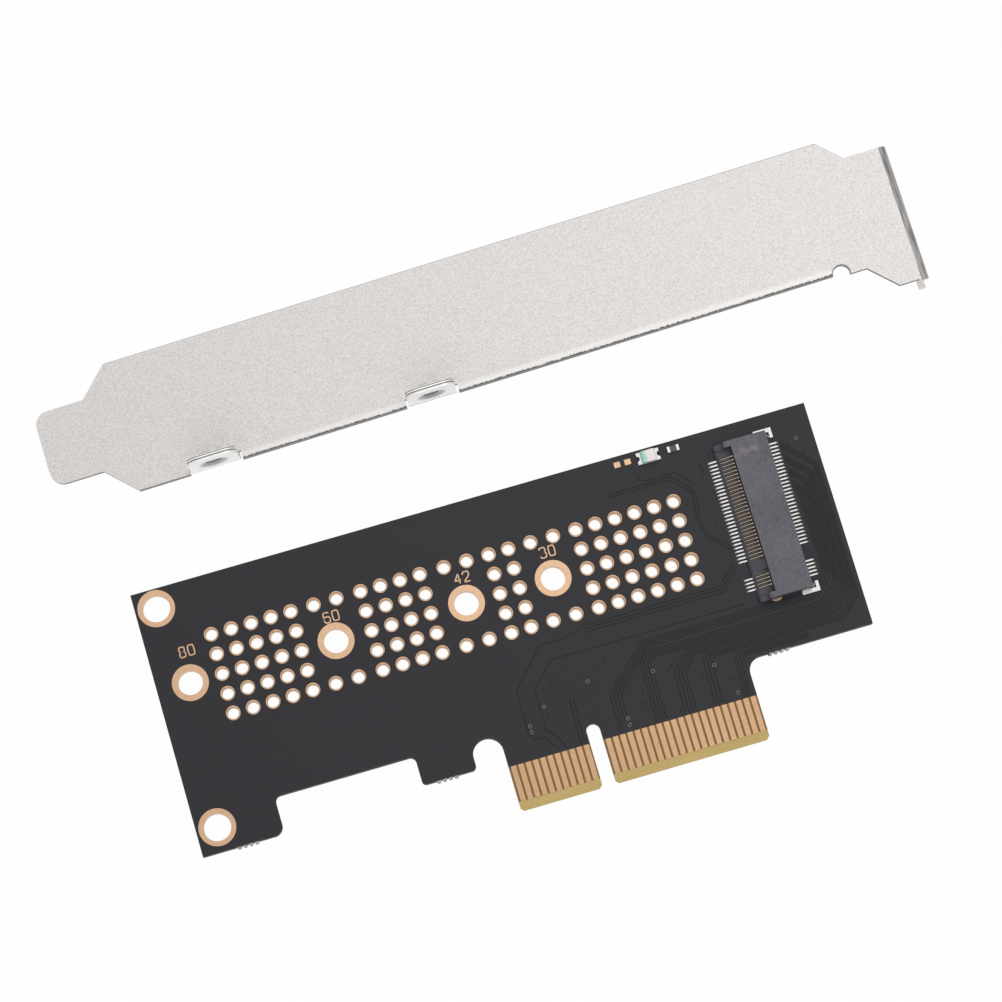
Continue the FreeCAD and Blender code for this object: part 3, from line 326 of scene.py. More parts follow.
def capped_mound(top, low):
    """A grid of points (rows, columns, 3) with a skirt dropped to the level low and a flat bottom."""
    rows, columns = top.shape[:2]
    number = np.arange(rows * columns).reshape(rows, columns)
    rim = np.concatenate([number[0, :], number[1:, -1], number[-1, -2::-1], number[-2:0:-1, 0]])
    points = top.reshape(-1, 3)
    skirt = points[rim].copy()
    skirt[:, 2] = low
    base = rows * columns + np.arange(len(rim))
    walls = np.stack([rim, np.roll(rim, -1), np.roll(base, -1), base], axis=1)
    faces = grid_faces(rows, columns)[:, ::-1].tolist() + walls[:, ::-1].tolist() + [base.tolist()]
    return np.concatenate([points, skirt]), faces


# ---------------------------------------------------------------- node helpers

def feed(tree, socket, value):
    """Joins a node's output to a socket, or sets the socket to a plain value."""
    if isinstance(value, bpy.types.NodeSocket):
        tree.links.new(value, socket)
    else:
        socket.default_value = value


def math_of(tree, operation, first, second=0.0, third=0.0, clamp=False):
    """The result of one arithmetic step on up to three values."""
    node = tree.nodes.new("ShaderNodeMath")
    node.operation = operation
    node.use_clamp = clamp
    for socket, value in zip(node.inputs, (first, second, third)):
        feed(tree, socket, value)
    return node.outputs[0]


def times(tree, value, *factors):
    """The product of a value and the factors after it."""
    for factor in factors:
        value = math_of(tree, "MULTIPLY", value, factor)
    return value


def highest(tree, value, *others):
    """The greatest of several values."""
    for other in others:
        value = math_of(tree, "MAXIMUM", value, other)
    return value


def lowest(tree, value, *others):
    """The least of several values."""
    for other in others:
        value = math_of(tree, "MINIMUM", value, other)
    return value


def ramp_of(tree, value, low, high, to_low=0.0, to_high=1.0):
    """A smooth step from to_low at low to to_high at high."""
    node = tree.nodes.new("ShaderNodeMapRange")
    node.interpolation_type = "SMOOTHSTEP"
    for socket, number in zip(node.inputs, (value, low, high, to_low, to_high)):
        feed(tree, socket, number)
    return node.outputs[0]


def step_of(tree, value, low, high, to_low=0.0, to_high=1.0):
    """A smooth step between two places given in millimetres."""
    return ramp_of(tree, value, low * MM, high * MM, to_low, to_high)


def blend_of(tree, share_of_second, first, second, way="MIX"):
    """A colour between two colours, or the two multiplied."""
    node = tree.nodes.new("ShaderNodeMix")
    node.data_type = "RGBA"
    node.blend_type = way
    feed(tree, node.inputs[0], share_of_second)
    feed(tree, node.inputs[6], first)
    feed(tree, node.inputs[7], second)
    return node.outputs[2]


def shaded(colour, *shares):
    """A colour with its channels multiplied by one share, or by a share each."""
    return [part * channel for part, channel in zip(shares * (3 // len(shares)), colour[:3])] + [1.0]


def noise_of(tree, place, scale, detail=2.0, roughness=0.5):
    """Noise of about a half, with its scale in waves to the metre."""
    node = tree.nodes.new("ShaderNodeTexNoise")
    feed(tree, node.inputs["Vector"], place)
    feed(tree, node.inputs["Scale"], scale)
    node.inputs["Detail"].default_value = detail
    node.inputs["Roughness"].default_value = roughness
    return node.outputs["Fac"]


def waver_of(tree, place, scale, width):
    """Noise about nought that is at most so many millimetres wide, for ragged borders."""
    return times(tree, math_of(tree, "SUBTRACT", noise_of(tree, place, scale), 0.5), width * MM)


def place_of(tree):
    """Object coordinates, in metres."""
    return tree.nodes.new("ShaderNodeTexCoord").outputs["Object"]


def moved_place(tree, place, location=(0.0, 0.0, 0.0), turn=(0.0, 0.0, 0.0), scale=(1.0, 1.0, 1.0)):
    """The place seen from a frame that stands at location, turned by turn and stretched by scale."""
    node = tree.nodes.new("ShaderNodeMapping")
    node.vector_type = "TEXTURE"
    feed(tree, node.inputs["Vector"], place)
    node.inputs["Location"].default_value = location
    node.inputs["Rotation"].default_value = turn
    node.inputs["Scale"].default_value = scale
    return node.outputs[0]


def parts_of(tree, place):
    """The three coordinates of a place."""
    node = tree.nodes.new("ShaderNodeSeparateXYZ")
    feed(tree, node.inputs[0], place)
    return node.outputs[0], node.outputs[1], node.outputs[2]


def bumped(tree, height, relief):
    """A normal roughened by a height, with the relief in millimetres."""
    node = tree.nodes.new("ShaderNodeBump")
    node.inputs["Strength"].default_value = 1.0
    node.inputs["Distance"].default_value = relief * MM
    feed(tree, node.inputs["Height"], height)
    return node.outputs[0]


def new_material(name):
    """An empty material with a Principled shader: the material, its tree and the shader's inputs."""
    material = bpy.data.materials.new(name)
    material.use_nodes = True
    tree = material.node_tree
    tree.nodes.clear()
    shader = tree.nodes.new("ShaderNodeBsdfPrincipled")
    out = tree.nodes.new("ShaderNodeOutputMaterial")
    tree.links.new(shader.outputs[0], out.inputs[0])
    return material, tree, shader.inputs


def new_group(name, inputs, outputs):
    """An empty shader group: inputs and outputs are (name, socket type) pairs."""
    tree = bpy.data.node_groups.new(name, "ShaderNodeTree")
    for label, kind in inputs:
        tree.interface.new_socket(label, in_out="INPUT", socket_type=kind)
    for label, kind in outputs:
        tree.interface.new_socket(label, in_out="OUTPUT", socket_type=kind)
    inner = tree.nodes.new("NodeGroupInput").outputs
    result = tree.nodes.new("NodeGroupOutput").inputs
    return tree, inner, result


def use_group(tree, group, **values):
    """Places a group in a tree, with its inputs fed by name, and gives its outputs."""
    node = tree.nodes.new("ShaderNodeGroup")
    node.node_tree = group
    for label, value in values.items():
        feed(tree, node.inputs[label], value)
    return node.outputs


def grain_of(tree, place, scale, contrast):
    """The outputs of the grain group."""
    return use_group(tree, grain_group(), Place=place, Scale=scale, Contrast=contrast)


def band_of(tree, value, low, high, softness):
    """The mask of the band group between two places given in millimetres."""
    return use_group(tree, band_group(), Value=value, Low=low * MM, High=high * MM,
                     Softness=softness * MM)["Mask"]


def grain_group():
    """Fine grain over slow mottling: a mask from 0 to 1 and a height, both about a half."""
    group = bpy.data.node_groups.get("fine_grain")
    if group:
        return group
    tree, inner, result = new_group(
        "fine_grain",
        [("Place", "NodeSocketVector"), ("Scale", "NodeSocketFloat"), ("Contrast", "NodeSocketFloat")],
        [("Mask", "NodeSocketFloat"), ("Height", "NodeSocketFloat")])
    fine = noise_of(tree, inner["Place"], inner["Scale"], 3.0, 0.6)
    slow = noise_of(tree, inner["Place"], times(tree, inner["Scale"], 0.06), 2.0, 0.5)
    both = math_of(tree, "ADD", times(tree, fine, 0.65), times(tree, slow, 0.35))
    spread = times(tree, math_of(tree, "SUBTRACT", both, 0.5), inner["Contrast"])
    feed(tree, result["Mask"], math_of(tree, "ADD", spread, 0.5, clamp=True))
    feed(tree, result["Height"], fine)
    return tree


def band_group():
    """One between two levels of a value and nought outside them, with soft ends."""
    group = bpy.data.node_groups.get("band")
    if group:
        return group
    tree, inner, result = new_group(
        "band",
        [("Value", "NodeSocketFloat"), ("Low", "NodeSocketFloat"), ("High", "NodeSocketFloat"),
         ("Softness", "NodeSocketFloat")],
        [("Mask", "NodeSocketFloat")])
    sides = []
    for upper, lower in (("Value", "Low"), ("High", "Value")):
        inside = math_of(tree, "SUBTRACT", inner[upper], inner[lower])
        soft = math_of(tree, "DIVIDE", inside, inner["Softness"])
        sides.append(math_of(tree, "ADD", soft, 0.5, clamp=True))
    feed(tree, result["Mask"], times(tree, *sides))
    return tree


def hole_field_group():
    """Distance in the plane from the nearest hole of a regular field: the nearest column is the place
    less the first column, over the pitch, rounded and held between nought and the last one; so for rows."""
    group = bpy.data.node_groups.get("hole_field")
    if group:
        return group
    tree, inner, result = new_group(
        "hole_field",
        [("X", "NodeSocketFloat"), ("Y", "NodeSocketFloat"), ("First X", "NodeSocketFloat"),
         ("First Y", "NodeSocketFloat"), ("Step X", "NodeSocketFloat"), ("Step Y", "NodeSocketFloat"),
         ("Last X", "NodeSocketFloat"), ("Last Y", "NodeSocketFloat")],
        [("Distance", "NodeSocketFloat")])
    legs = []
    for axis in "XY":
        away = math_of(tree, "SUBTRACT", inner[axis], inner["First " + axis])
        number = math_of(tree, "ROUND", math_of(tree, "DIVIDE", away, inner["Step " + axis]))
        held = math_of(tree, "MINIMUM", math_of(tree, "MAXIMUM", number, 0.0), inner["Last " + axis])
        rest = math_of(tree, "SUBTRACT", away, times(tree, held, inner["Step " + axis]))
        legs.append(times(tree, rest, rest))
    feed(tree, result["Distance"], math_of(tree, "SQRT", math_of(tree, "ADD", *legs)))
    return tree


def plain_metal(name, colour, roughness, metallic, scale, contrast, relief):
    """A metal whose colour and roughness drift a little with a fine grain."""
    material, tree, shader = new_material(name)
    grain = grain_of(tree, place_of(tree), scale, contrast)
    feed(tree, shader["Base Color"], blend_of(tree, grain["Mask"], shaded(colour, 0.72), colour))
    rough, smooth = roughness + 0.08, roughness - 0.06
    feed(tree, shader["Roughness"], ramp_of(tree, grain["Mask"], 0.0, 1.0, rough, smooth))
    feed(tree, shader["Normal"], bumped(tree, grain["Height"], relief))
    shader["Metallic"].default_value = metallic
    return material


def material_named(name, maker, *values, **settings):
    """The material of that name, made the first time it is asked for."""
    return bpy.data.materials.get(name) or maker(name, *values, **settings)


def finish_nodes(material, *names):
    """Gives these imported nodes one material."""
    for name in names:
        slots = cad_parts[name].data.materials
        slots.clear()
        slots.append(material)


# ---------------------------------------------------------------- finishes

# the mask's grain: waves to the metre and contrast, then its relief in millimetres
MASK_GRAIN = (2600.0, 1.2)
MASK_RELIEF = 0.004


def board_material(name, finish):
    """Mask on both faces, cut laminate on the walls, bare laminate round the contacts with painted shade
    between them, and gold lands on the underside of the vents."""
    material, tree, shader = new_material(name)
    place = place_of(tree)
    x, y, z = parts_of(tree, place)
    grain = grain_of(tree, place, *MASK_GRAIN)
    fibre = grain_of(tree, moved_place(tree, place, scale=(1.0, 0.25, 1.0)), 2200.0, 2.0)
    mask = blend_of(tree, grain["Mask"], shaded(finish.mask, 0.80), finish.mask)
    bare = blend_of(tree, fibre["Mask"], shaded(finish.laminate, 0.72, 0.66, 0.5), finish.laminate)
    # painted shade: the bare laminate between the contacts, above their lower ends, is darkened to a deep
    # brown
    shade_between_contacts = step_of(tree, y, CONTACT_ENDS, CONTACT_ENDS + 0.15)
    bare = blend_of(tree, shade_between_contacts, bare, shaded(finish.laminate, 0.39, 0.28, 0.19))
    cut = blend_of(tree, fibre["Mask"], shaded(finish.routed_edge, 0.55), finish.routed_edge)

    wall = band_of(tree, z, 0.03, BOARD_TOP - 0.03, 0.02)
    low_strip = step_of(tree, y, BARE_TOP + 0.05, BARE_TOP - 0.05)
    bare_zone = times(tree, low_strip, step_of(tree, x, BARE_LEFT - 0.05, BARE_LEFT + 0.05))

    # lands of the vents: the distance from the nearest hole of any block or pair, on the underside
    distances = []
    rows_height = (VENT_ROWS - 1) * VENT_PITCH
    fields = [(first, VENT_PITCH, columns - 1, VENT_PITCH, VENT_ROWS - 1) for first, columns in VENT_BLOCKS]
    fields += [(left, right - left, 1, rows_height, 1)
               for left, right in zip(VENT_PAIRS[::2], VENT_PAIRS[1::2])]
    for first, step, last, row_step, last_row in fields:
        values = {"X": x, "First X": first * MM, "Step X": step * MM, "Last X": float(last),
                  "Y": y, "First Y": (DRIVE_ROW - rows_height / 2) * MM, "Step Y": row_step * MM,
                  "Last Y": float(last_row)}
        distances.append(use_group(tree, hole_field_group(), **values)["Distance"])
    near_hole = step_of(tree, lowest(tree, *distances), LAND_RADIUS + 0.02, LAND_RADIUS - 0.02)
    land = times(tree, near_hole, step_of(tree, z, 0.05, 0.02))

    # torn stumps, below the edge that each row stands out from
    below = [times(tree, step_of(tree, y, edge + 0.01, edge - 0.03), band_of(tree, x, left, right, 0.05))
             for left, right, edge in STUMP_ROWS]
    stumps = highest(tree, *below)
    torn = blend_of(tree, fibre["Mask"], cut, finish.stump)
    colour = blend_of(tree, stumps, blend_of(tree, wall, mask, cut), torn)
    colour = blend_of(tree, bare_zone, colour, bare)
    colour = blend_of(tree, land, colour, finish.land)
    feed(tree, shader["Base Color"], colour)
    rough_parts = highest(tree, wall, bare_zone)
    feed(tree, shader["Roughness"], ramp_of(tree, rough_parts, 0.0, 1.0, finish.mask_roughness, 0.75))
    feed(tree, shader["Metallic"], land)
    shader["Specular IOR Level"].default_value = 0.34
    feed(tree, shader["Normal"], bumped(tree, grain["Height"], MASK_RELIEF))
    return material


def mask_material(name, finish):
    """The mask along the rims of covered copper: the same varnish, thinner, and darker as painted shade
    along the runs.
    """
    material, tree, shader = new_material(name)
    grain = grain_of(tree, place_of(tree), *MASK_GRAIN)
    # painted shade: the runs and covered vias take darker copies of the mask colour
    colour = blend_of(tree, grain["Mask"], shaded(finish.mask, 0.45), shaded(finish.mask, 0.75))
    feed(tree, shader["Base Color"], colour)
    shader["Roughness"].default_value = finish.mask_roughness
    shader["Specular IOR Level"].default_value = 0.26
    feed(tree, shader["Normal"], bumped(tree, grain["Height"], MASK_RELIEF))
    return material


def gold_material(name, colour, roughness):
    """Flash of gold over copper."""
    return plain_metal(name, colour, roughness, metallic=0.9, scale=1800.0, contrast=0.9, relief=0.002)


def land_gold(finish):
    """The gold of all the lands, rims and numbers."""
    return material_named("land_gold", gold_material, finish.land, roughness=0.36)


def solder_metal(finish):
    """Solder and tinned feet, on the socket, the hold-downs, the lamp and the resistor."""
    return material_named("solder", plain_metal, finish.solder, roughness=0.30, metallic=0.85, scale=2500.0,
                          contrast=0.8, relief=0.004)


def moulding_material(name, finish):
    """Matt moulding: blue-grey on the cover with rubbed patches near its far end, darker below."""
    material, tree, shader = new_material(name)
    place = place_of(tree)
    _, y, z = parts_of(tree, place)
    grain = grain_of(tree, place, 3200.0, 4.0)
    cover = blend_of(tree, grain["Mask"], shaded(finish.cover, 0.62), finish.cover)
    patches = ramp_of(tree, noise_of(tree, place, 420.0, 3.0, 0.55), 0.56, 0.70)
    rubbed = times(tree, patches, step_of(tree, y, *RUBBED_END), 0.7)
    cover = blend_of(tree, rubbed, cover, shaded(finish.cover, 1.75, 1.6, 1.35))
    top = step_of(tree, z, COVER_LEVEL - 0.1, COVER_LEVEL + 0.1)
    feed(tree, shader["Base Color"], blend_of(tree, top, finish.jaw, cover))
    shader["Roughness"].default_value = 0.5
    feed(tree, shader["Normal"], bumped(tree, grain["Height"], 0.006))
    return material


def lens_material(name, finish):
    """Clear resin, tinted over the die at one end and milky with a warm cast at the other."""
    material, tree, shader = new_material(name)
    place = place_of(tree)
    wavering_x = math_of(tree, "ADD", parts_of(tree, place)[0], waver_of(tree, place, 1500.0, 0.9))
    across = step_of(tree, wavering_x, LAMP_MIDDLE - 0.6, LAMP_MIDDLE - 0.05)
    feed(tree, shader["Base Color"], blend_of(tree, across, finish.lens_left, finish.lens_right))
    shader["Roughness"].default_value = 0.18
    shader["Coat Weight"].default_value = 0.5
    return material


def contact_strip_material(name, finish):
    """Contacts of the open side: tinned feet outside the jaw, and gold beams inside it with a painted
    highlight along the middle, painted shade on the flanks and a painted highlight over the tip."""
    material, tree, shader = new_material(name)
    place = place_of(tree)
    x, y, _ = parts_of(tree, place)
    grain = grain_of(tree, place, 2500.0, 0.9)
    inside = step_of(tree, x, SOCKET_LEFT, SOCKET_LEFT + 0.2)
    past_first = math_of(tree, "SUBTRACT", y, FRONT_FEET[1][0] * MM)
    off_line = math_of(tree, "PINGPONG", past_first, FOOT_PITCH / 2 * MM)
    # painted light: the tip and a ridge along the middle are painted bright as highlight, the flanks dark
    # as shade
    tip = step_of(tree, x, BEAM_TIPS - 0.1, BEAM_TIPS + 0.1)
    flank_shade = times(tree, step_of(tree, off_line, 0.035, 0.055), math_of(tree, "SUBTRACT", 1.0, tip))
    ridge = [0.5 * channel + 0.3 for channel in finish.beam[:3]] + [1.0]
    beam = blend_of(tree, flank_shade, ridge, shaded(finish.beam, 0.16))
    colour = blend_of(tree, inside, finish.solder, beam)
    white = (1.0, 1.0, 1.0, 1.0)
    shade = blend_of(tree, grain["Mask"], shaded(white, 0.7), white)
    feed(tree, shader["Base Color"], blend_of(tree, 1.0, colour, shade, way="MULTIPLY"))
    shader["Metallic"].default_value = 0.85
    shader["Roughness"].default_value = 0.3
    return material


def ceramic_material(name, colour):
    """Fired body or glaze with a very fine grain."""
    material, tree, shader = new_material(name)
    grain = grain_of(tree, place_of(tree), 6000.0, 1.5)
    feed(tree, shader["Base Color"], blend_of(tree, grain["Mask"], shaded(colour, 0.8), colour))
    shader["Roughness"].default_value = 0.45
    feed(tree, shader["Normal"], bumped(tree, grain["Height"], 0.003))
    return material


def sheet_material(name, finish):
    """Zinc-coated sheet: a speckled matt face with a rolled dark lower edge and painted highlights along
    its edges, a sheared edge that is smooth above and torn below, tabs painted bright as highlight with
    dark rims, painted shade round the sunk hole and painted light and dark stripes in the threaded bore,
    and a streaky bend."""
    material, tree, shader = new_material(name)
    corner = [level * MM for level in BRACKET_CORNER]
    own = moved_place(tree, place_of(tree), corner, (0.0, -BRACKET_LEAN, BRACKET_TURN))
    x, y, z = parts_of(tree, own)
    speckle = noise_of(tree, own, 1.0 / finish.grain, 2.0, 0.6)
    face = blend_of(tree, ramp_of(tree, speckle, 0.26, 0.66), shaded(finish.sheet, 0.77), finish.sheet)

    # the strip's rolled lower edge with a painted highlight beside it, and a painted highlight along its
    # upper edge
    on_face = step_of(tree, z, SHEET - 0.25, SHEET - 0.2)
    ragged_y = math_of(tree, "ADD", y, waver_of(tree, own, 3200.0, 0.5))
    rolled_stretch = band_of(tree, x, *ROLLED_EDGE, 0.1)
    roll = times(tree, step_of(tree, ragged_y, 0.27, 0.21), on_face, rolled_stretch)
    shine = times(tree, band_of(tree, y, 0.3, 0.9, 0.6), rolled_stretch, 0.6)
    rim = step_of(tree, y, STRIP_TOP_EDGE - 0.1, STRIP_TOP_EDGE)
    face = blend_of(tree, highest(tree, shine, rim), face, finish.painted_highlight)
    face = blend_of(tree, roll, face, finish.fracture_and_thread_shade)

    # the sheared edge, up to the bend
    edge = times(tree, band_of(tree, z, 0.02, SHEET - 0.03, 0.02),
                 step_of(tree, x, BEND_START - 0.08, BEND_START - 0.28))
    torn_places = moved_place(tree, own, scale=(1.0, 1.0, 8.0))
    ragged_z = math_of(tree, "ADD", z, waver_of(tree, torn_places, 2500.0, 0.35))
    torn = step_of(tree, ragged_z, 0.42, 0.36)
    colour = blend_of(tree, edge, face, blend_of(tree, torn, finish.cut_edge_and_sink_shade, finish.fracture_and_thread_shade))

    # tabs: faces painted bright as highlight, dark rims, painted shade on the sunk rim of the hole and
    # painted light and dark stripes in its threaded bore, by the distance from its axis
    off_axis = []
    for across in TAB_HOLES:
        hole = [level * MM for level in (across, 0.0, TAB_HOLE_HEIGHT)]
        node = tree.nodes.new("ShaderNodeVectorMath")
        node.operation = "LENGTH"
        feed(tree, node.inputs[0], moved_place(tree, own, hole, scale=(1.0, 1e6, 1.0)))
        off_axis.append(node.outputs["Value"])
    off_axis = lowest(tree, *off_axis)
    dark_rims = highest(tree, band_of(tree, y, 0.30, 0.46, 0.05), band_of(tree, y, 0.66, 0.78, 0.05))
    # painted highlight: the tab faces take the bright highlight colour
    tab = blend_of(tree, dark_rims, finish.painted_highlight, shaded(finish.sheet, 0.2))
    # painted shade: the sunk rim round the hole is darkened towards the hole
    tab = blend_of(tree, step_of(tree, off_axis, 2.3, 1.4, 0.0, 0.75), tab, finish.cut_edge_and_sink_shade)
    # painted highlight and shade: bright and dark stripes across the threaded bore
    turns = math_of(tree, "SINE", times(tree, y, 2.0 * math.pi / (THREAD_STRIPE * MM)))
    bore = blend_of(tree, ramp_of(tree, turns, 0.2, 0.6), finish.fracture_and_thread_shade, finish.painted_highlight)
    tab = blend_of(tree, step_of(tree, off_axis, 1.30, 1.27), tab, bore)
    on_tab = step_of(tree, z, SHEET + 0.25, SHEET + 0.4)
    colour = blend_of(tree, on_tab, colour, tab)

    # the bend at the flange, drawn out in streaks
    streak = noise_of(tree, moved_place(tree, own, scale=(0.2, 3.0, 0.2)), 900.0, 3.0)
    drawn = blend_of(tree, ramp_of(tree, streak, 0.3, 0.7), shaded(finish.sheet, 0.26),
                     shaded(finish.sheet, 0.66))
    bend = times(tree, step_of(tree, x, BEND_START, BEND_START + 0.1), step_of(tree, z, -0.8, -0.2))
    feed(tree, shader["Base Color"], blend_of(tree, bend, colour, drawn))
    shader["Metallic"].default_value = 0.55
    rough = ramp_of(tree, times(tree, edge, torn), 0.0, 1.0, finish.roughness, 0.8)
    feed(tree, shader["Roughness"], rough)
    feed(tree, shader["Normal"], bumped(tree, speckle, 0.012))
    return material


def table_material(name, stage):
    """A pale table that the camera sees almost white, with a share of the real shadow left in."""
    material, tree, shader = new_material(name)
    feed(tree, shader["Base Color"], stage.table)
    shader["Roughness"].default_value = 0.9
    out = next(node for node in tree.nodes if node.type == "OUTPUT_MATERIAL").inputs[0]
    surface = out.links[0].from_socket
    glow = tree.nodes.new("ShaderNodeEmission")
    glow.inputs["Color"].default_value = (1.0, 1.0, 1.0, 1.0)
    glow.inputs["Strength"].default_value = 1.0
    path = tree.nodes.new("ShaderNodeLightPath").outputs
    seen = highest(tree, path["Is Camera Ray"], path["Is Glossy Ray"], path["Is Transmission Ray"])
    mix = tree.nodes.new("ShaderNodeMixShader")
    feed(tree, mix.inputs[0], times(tree, seen, 1.0 - stage.shadow))
    tree.links.new(surface, mix.inputs[1])
    tree.links.new(glow.outputs[0], mix.inputs[2])
    tree.links.new(mix.outputs[0], out)
    return material


# ---------------------------------------------------------------- pieces

def vent_places():
    """Centres of all the vents: full blocks of columns and rows, and the pairs beside the holes."""
    rows = DRIVE_ROW + VENT_PITCH * (np.arange(VENT_ROWS) - (VENT_ROWS - 1) / 2)
    full = [np.stack(np.meshgrid(first + VENT_PITCH * np.arange(columns), rows), axis=-1).reshape(-1, 2)
            for first, columns in VENT_BLOCKS]
    pairs = np.stack(np.meshgrid(VENT_PAIRS, rows[[0, -1]]), axis=-1).reshape(-1, 2)
    flat = np.concatenate(full + [pairs])
    return np.concatenate([flat, np.zeros((len(flat), 1))], axis=1)


def ring_shape():
    """Land and plated barrel of one vent: a six-point profile, a thin wall down the hole with a flange on
    the top face, turned about the hole's axis."""
    raised = BOARD_TOP + PLATING_RISE
    return turned([(VENT_RADIUS - PLATING_RISE, 0.0), (VENT_RADIUS, 0.0), (VENT_RADIUS, BOARD_TOP),
                   (LAND_RADIUS, BOARD_TOP), (LAND_RADIUS - PLATING_BEVEL, raised),
                   (VENT_RADIUS, raised)], 20)


def via_rim_shape():
    """Rim of one open via: a flat ring with its upper edges drawn in, turned about the via's axis."""
    raised = BOARD_TOP + PLATING_RISE
    return turned([(VIA_RADIUS, BOARD_TOP), (VIA_RIM_RADIUS, BOARD_TOP),
                   (VIA_RIM_RADIUS - PLATING_BEVEL, raised), (VIA_RADIUS + PLATING_BEVEL, raised)], 16)


# strokes of each digit, point by point, for a digit that is one high and DIGIT_WIDTH wide
DIGIT_WIDTH, DIGIT_STEP = 0.6, 0.9
DIGITS = {
    "0": [[(0.3, 0), (0.05, 0), (0, 0.25), (0, 0.75), (0.05, 1), (0.3, 1), (0.55, 1), (0.6, 0.75),
           (0.6, 0.25), (0.55, 0), (0.3, 0)]],
    "2": [[(0, 0.75), (0.02, 1), (0.3, 1.02), (0.58, 1), (0.6, 0.72), (0.55, 0.55), (0.2, 0.25), (0, 0)],
          [(0, 0), (0.6, 0)]],
    "3": [[(0, 0.82), (0.04, 1), (0.3, 1.02), (0.56, 1), (0.58, 0.76), (0.52, 0.55), (0.25, 0.53)],
          [(0.25, 0.53), (0.56, 0.53), (0.62, 0.28), (0.56, 0), (0.3, -0.02), (0.04, 0), (0, 0.18)]],
    "4": [[(0.45, 0), (0.45, 1)], [(0.45, 1), (0, 0.32)], [(0, 0.32), (0.62, 0.32)]],
    "6": [[(0.55, 0.88), (0.5, 1), (0.3, 1.02), (0.04, 1), (0, 0.7), (0, 0.3), (0.04, 0), (0.3, -0.02),
           (0.56, 0), (0.62, 0.28), (0.56, 0.56), (0.3, 0.58), (0.05, 0.56), (0, 0.3)]],
    "8": [[(0.3, 0.53), (0.06, 0.55), (0.02, 0.77), (0.06, 1), (0.3, 1.02), (0.54, 1), (0.58, 0.77),
           (0.54, 0.55), (0.3, 0.53)],
          [(0.3, 0.53), (0.04, 0.5), (0, 0.26), (0.04, 0), (0.3, -0.02), (0.56, 0), (0.6, 0.26),
           (0.56, 0.5), (0.3, 0.53)]],
}
# each number and the middle of its place
NUMBERS = [("80", (-48.7, 32.75)), ("60", (-29.1, 31.85)), ("42", (-11.0, 32.0)), ("30", (0.9, 32.2))]


def number_shapes(height, stroke):
    """Each digit is raised strips along its strokes, which are its path times the height, plus its place;
    each number is centred on its own place."""
    shapes = []
    pitch = DIGIT_STEP * height
    for text, (across, up) in NUMBERS:
        start = across - 0.5 * (pitch * (len(text) - 1) + DIGIT_WIDTH * height)
        for order, digit in enumerate(text):
            for line in DIGITS[digit]:
                path = rounded_path(line, 2) if len(line) > 2 else np.asarray(line, float)
                path = path * height + np.array([start + order * pitch, up - 0.5 * height])
                shapes.append(raised_strip(path, stroke, BOARD_TOP, BOARD_TOP + PRINT_RISE))
    return shapes


def run_paths():
    """Each bundle's runs: the first run plus an even share of the way to the last, corner for corner."""
    paths = []
    for count, first, last in RUNS:
        first = np.array(first)
        last = first if last is None else np.array(last)
        paths += [first + (last - first) * part for part in np.linspace(0.0, 1.0, count)]
    return paths


def disc_shape(radius, top, place, sides=12):
    """A thin round plate on the board's face: two rings at the place plus radius times (cos a, sin a),
    with the wall between them and two flat faces."""
    angle = np.linspace(0.0, 2.0 * math.pi, sides, endpoint=False)
    ring = np.stack([place[0] + radius * np.cos(angle), place[1] + radius * np.sin(angle)], axis=1)
    points = np.concatenate([np.column_stack([ring, np.full(sides, level)]) for level in (BOARD_TOP, top)])
    i = np.arange(sides)
    walls = np.stack([i, (i + 1) % sides, (i + 1) % sides + sides, i + sides], axis=1)
    return points, walls.tolist() + [i[::-1].tolist(), (i + sides).tolist()]


def foot_solder(extent, side):
    """Solder in front of one socket foot: u runs across it and v out from the foot's end. Its height falls
    with the square of one less v and, by a third, with the square of u; it narrows with the square of v."""
    u, v = np.meshgrid(np.linspace(-1, 1, 4), np.linspace(0, 1, 5), indexing="ij")
    width = 0.10 - 0.02 * v ** 2
    height = 0.03 + 0.09 * (1 - v) ** 2 * (1 - 0.35 * u ** 2)
    top = np.stack([side * v * extent, u * width, BOARD_TOP + height], axis=-1)
    return top if side < 0 else top[::-1]


def socket_solder():
    """The solder domes at all the socket's feet, row by row, and the drops beside the hold-downs."""
    shapes = []
    for rows, edge, reach, side in ((FRONT_FEET, SOCKET_LEFT, FRONT_REACH, -1),
                                    (REAR_FEET, SOCKET_RIGHT, REAR_REACH, 1)):
        points, faces = capped_mound(foot_solder(FOOT_SOLDER, side), BOARD_TOP)
        shapes += [(points + np.array([edge + side * reach, first + FOOT_PITCH * number, 0.0]), faces)
                   for first, count in rows for number in range(count)]
    top = BOARD_TOP + HOLD_SOLDER_RISE
    return shapes + [disc_shape(radius, top, (x, y)) for x, y, radius in HOLD_SOLDER]


